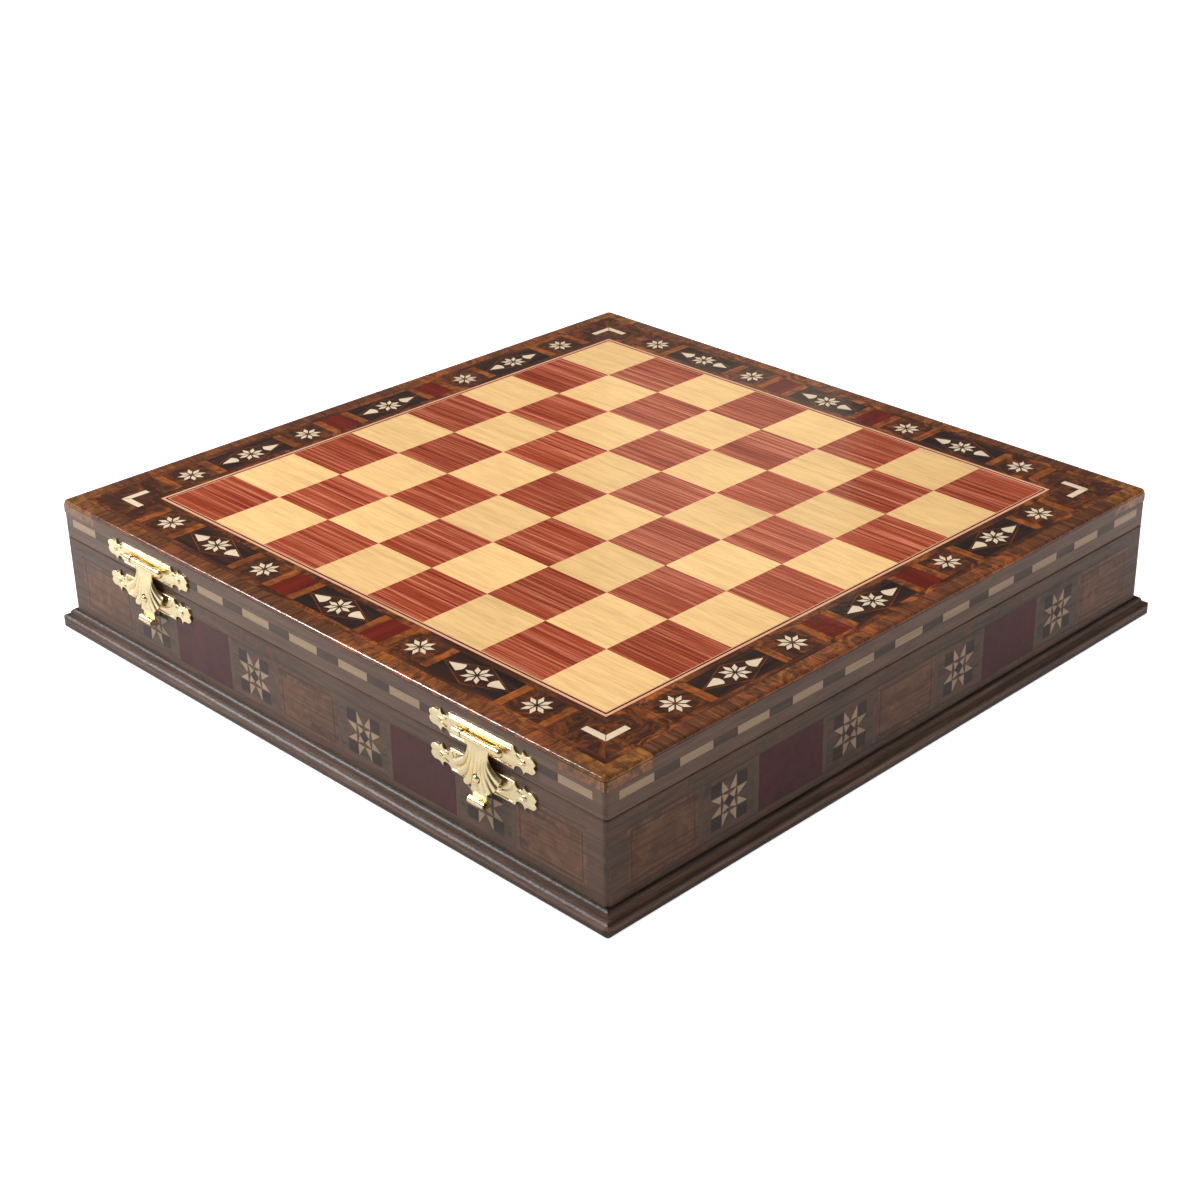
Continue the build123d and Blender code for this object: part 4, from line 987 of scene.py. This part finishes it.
class BOX_OT_linings(bpy.types.Operator):
    """Velvet on the floor, the walls and the lid, and felt under the base"""

    bl_idname = "box.linings"
    bl_label = "Linings and felt"

    def execute(self, context):
        sizes = context.scene.lining_sizes
        colour, felt_colour = chosen(context.scene.box_finish, "lining", "felt")
        velvet = cloth_material("LiningVelvet", colour, 1400.0, 0.5)
        felt = cloth_material("BaseFelt", felt_colour, 900.0, 0.2)
        low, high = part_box("floor_linings")
        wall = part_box("divider")
        for name, y0, y1 in (("front", low[1], wall[0][1]), ("rear", wall[1][1], high[1])):
            cloth_sheet(
                f"floor_velvet_{name}", "floor_linings", velvet, "case",
                ((low[0], y0, low[2]), (high[0], y1, high[2])), sizes.pile, 1.0,
            )
        (x0, y0, z0), (x1, y1, z1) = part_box("wall_linings")
        thin = WALL_VELVET
        for name, box in (
            ("front", ((x0, y0, z0), (x1, y0 + thin, z1))),
            ("back", ((x0, y1 - thin, z0), (x1, y1, z1))),
            ("left", ((x0, y0 + thin, z0), (x0 + thin, y1 - thin, z1))),
            ("right", ((x1 - thin, y0 + thin, z0), (x1, y1 - thin, z1))),
        ):
            cloth_sheet(
                f"wall_velvet_{name}", "wall_linings", velvet, "case",
                box, sizes.pile, 2.0,
            )
        cloth_sheet(
            "lid_velvet", "lid_lining", velvet, "lid",
            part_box("lid_lining"), sizes.pile, 3.0,
        )
        cloth_sheet(
            "base_felt_sheet", "base_felt", felt, "case",
            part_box("base_felt"), sizes.felt_pile, 4.0,
        )
        return {"FINISHED"}


# ---------------------------------------------------------------- stage
def paper_floor():
    """A wide pale floor that the camera sees brighter than the light on it."""
    sheet = bmesh.new()
    bmesh.ops.create_grid(sheet, x_segments=2, y_segments=2, size=FLOOR_HALF)
    moved(sheet, z=-FLOOR_DROP)
    mesh = bpy.data.meshes.new("floor")
    sheet.to_mesh(mesh)
    sheet.free()
    ground = bpy.data.objects.new("floor", mesh)
    bpy.context.scene.collection.objects.link(ground)
    material = bpy.data.materials.new("FloorPaper")
    nodes = Nodes(material)
    seen = nodes.math("MULTIPLY", nodes.put("LightPath", output="Is Camera Ray"), PAPER_GLOW)
    paper = nodes.put("BsdfDiffuse", {"Color": PAPER})
    glow = nodes.put("Emission", {"Color": WHITE, "Strength": seen})
    nodes.add("OutputMaterial", {"Surface": nodes.put("AddShader", {0: paper, 1: glow})})
    mesh.materials.append(material)


def soft_world(sky, mirrored_sky):
    """An even sky, dimmer where it is mirrored, and white behind the box and near the horizon."""
    world = bpy.data.worlds.new("soft_room")
    bpy.context.scene.world = world
    nodes = Nodes(world)
    rays = nodes.add("LightPath", {}).outputs
    dimmed = nodes.math("MULTIPLY_ADD", rays["Is Glossy Ray"], mirrored_sky - sky, sky)
    plain = nodes.math("MAXIMUM", rays["Is Camera Ray"], rays["Is Transmission Ray"])
    heading = nodes.add("SeparateXYZ", {0: nodes.put("TexCoord", output="Generated")}).outputs
    fade = {
        "Value": heading[2], "From Min": HORIZON_LOW, "From Max": HORIZON_HIGH, "To Min": 1, "To Max": 0,
    }
    near_horizon = nodes.put("MapRange", fade, interpolation_type="SMOOTHSTEP")
    mirrored = nodes.math("MULTIPLY", rays["Is Glossy Ray"], near_horizon)
    both = {
        0: nodes.math("MAXIMUM", plain, mirrored),
        1: nodes.put("Background", {"Color": WHITE, "Strength": dimmed}),
        2: nodes.put("Background", {"Color": WHITE, "Strength": 1.0}),
    }
    nodes.add("OutputWorld", {"Surface": nodes.put("MixShader", both)})


def soft_lamp(name, power, colour, place, target, size, mirrored):
    """A square lamp that looks at its target."""
    lamp = bpy.data.lights.new(name, "AREA")
    lamp.energy = power
    lamp.color = colour
    lamp.size = size
    holder = bpy.data.objects.new(name, lamp)
    bpy.context.scene.collection.objects.link(holder)
    holder.visible_glossy = mirrored
    holder.location = place
    holder.rotation_euler = (Vector(target) - Vector(place)).to_track_quat("-Z", "Y").to_euler()


def fitted_camera():
    """The camera, fitted to the corners of the box and of the board."""
    lens = bpy.data.cameras.new("camera")
    lens.sensor_fit = "HORIZONTAL"
    lens.sensor_width = 36
    lens.lens = 66.16
    lens.shift_x = -0.0692
    lens.shift_y = -0.0099
    lens.clip_start = 0.01
    camera = bpy.data.objects.new("camera", lens)
    bpy.context.scene.collection.objects.link(camera)
    right = Vector((0.7262, 0.6875, 0.0014))
    down = Vector((0.3103, -0.326, -0.893))
    forward = Vector((-0.6134, 0.6489, -0.4501))
    turn = Matrix((right, -down, -forward)).transposed()
    seat = Vector((0.74587, -0.73196, 0.54486))
    camera.matrix_world = Matrix.Translation(seat) @ turn.to_4x4()
    bpy.context.scene.camera = camera


class BOX_OT_stage(bpy.types.Operator):
    """Pale floor, soft lights and the camera"""

    bl_idname = "box.stage"
    bl_label = "Floor, lights and camera"

    def execute(self, context):
        settings = context.scene.stage_settings
        context.scene.view_settings.view_transform = "Standard"
        paper_floor()
        soft_world(settings.sky, settings.mirrored_sky)
        white, warm = (1, 1, 1), (1, 0.84, 0.66)
        for lamp in (
            ("key_light", settings.key, white, (-1.05, -0.8, 1.05), BOX_MIDDLE, 0.45, True),
            ("fill_light", settings.fill, white, (0.75, 1.05, 1.05), BOX_MIDDLE, 0.7, False),
            ("window_light", settings.window, warm, (-1.0, 1.2, 0.77), (0.04, 0.03, 0.07), 0.32, True),
        ):
            soft_lamp(*lamp)
        fitted_camera()
        return {"FINISHED"}


class BOX_PT_panel(bpy.types.Panel):
    """Lists the steps and sizes of the chess box"""

    bl_idname = "BOX_PT_panel"
    bl_label = "Chess Box"
    bl_space_type = "VIEW_3D"
    bl_region_type = "UI"
    bl_category = "Chess Box"

    def draw(self, context):
        for step in STEPS:
            self.layout.operator(step.bl_idname)
        for name in GROUPS:
            group = getattr(context.scene, name)
            column = self.layout.column()
            for setting in group.__annotations__:
                column.prop(group, setting)


STEPS = (
    BOX_OT_board,
    BOX_OT_border,
    BOX_OT_sides,
    BOX_OT_inside,
    BOX_OT_hinges,
    BOX_OT_latch_plates,
    BOX_OT_latch_nails,
    BOX_OT_latch_tongues,
    BOX_OT_linings,
    BOX_OT_stage,
)
GROUPS = {
    "box_woods": BoxWoods,
    "box_finish": BoxFinish,
    "latch_sizes": LatchSizes,
    "lining_sizes": LiningSizes,
    "stage_settings": StageSettings,
}


def register():
    for group in GROUPS.values():
        bpy.utils.register_class(group)
    for step in STEPS:
        bpy.utils.register_class(step)
    bpy.utils.register_class(BOX_PT_panel)
    for name, group in GROUPS.items():
        setattr(bpy.types.Scene, name, PointerProperty(type=group))


def unregister():
    for name in GROUPS:
        delattr(bpy.types.Scene, name)
    bpy.utils.unregister_class(BOX_PT_panel)
    for step in reversed(STEPS):
        bpy.utils.unregister_class(step)
    for group in reversed(GROUPS.values()):
        bpy.utils.unregister_class(group)


def main():
    register()
    bpy.ops.box.board()
    bpy.ops.box.border()
    bpy.ops.box.sides()
    bpy.ops.box.inside()
    bpy.ops.box.hinges()
    bpy.ops.box.latch_plates()
    bpy.ops.box.latch_nails()
    bpy.ops.box.latch_tongues()
    bpy.ops.box.linings()
    bpy.ops.box.stage()


if __name__ == "__main__":
    main()
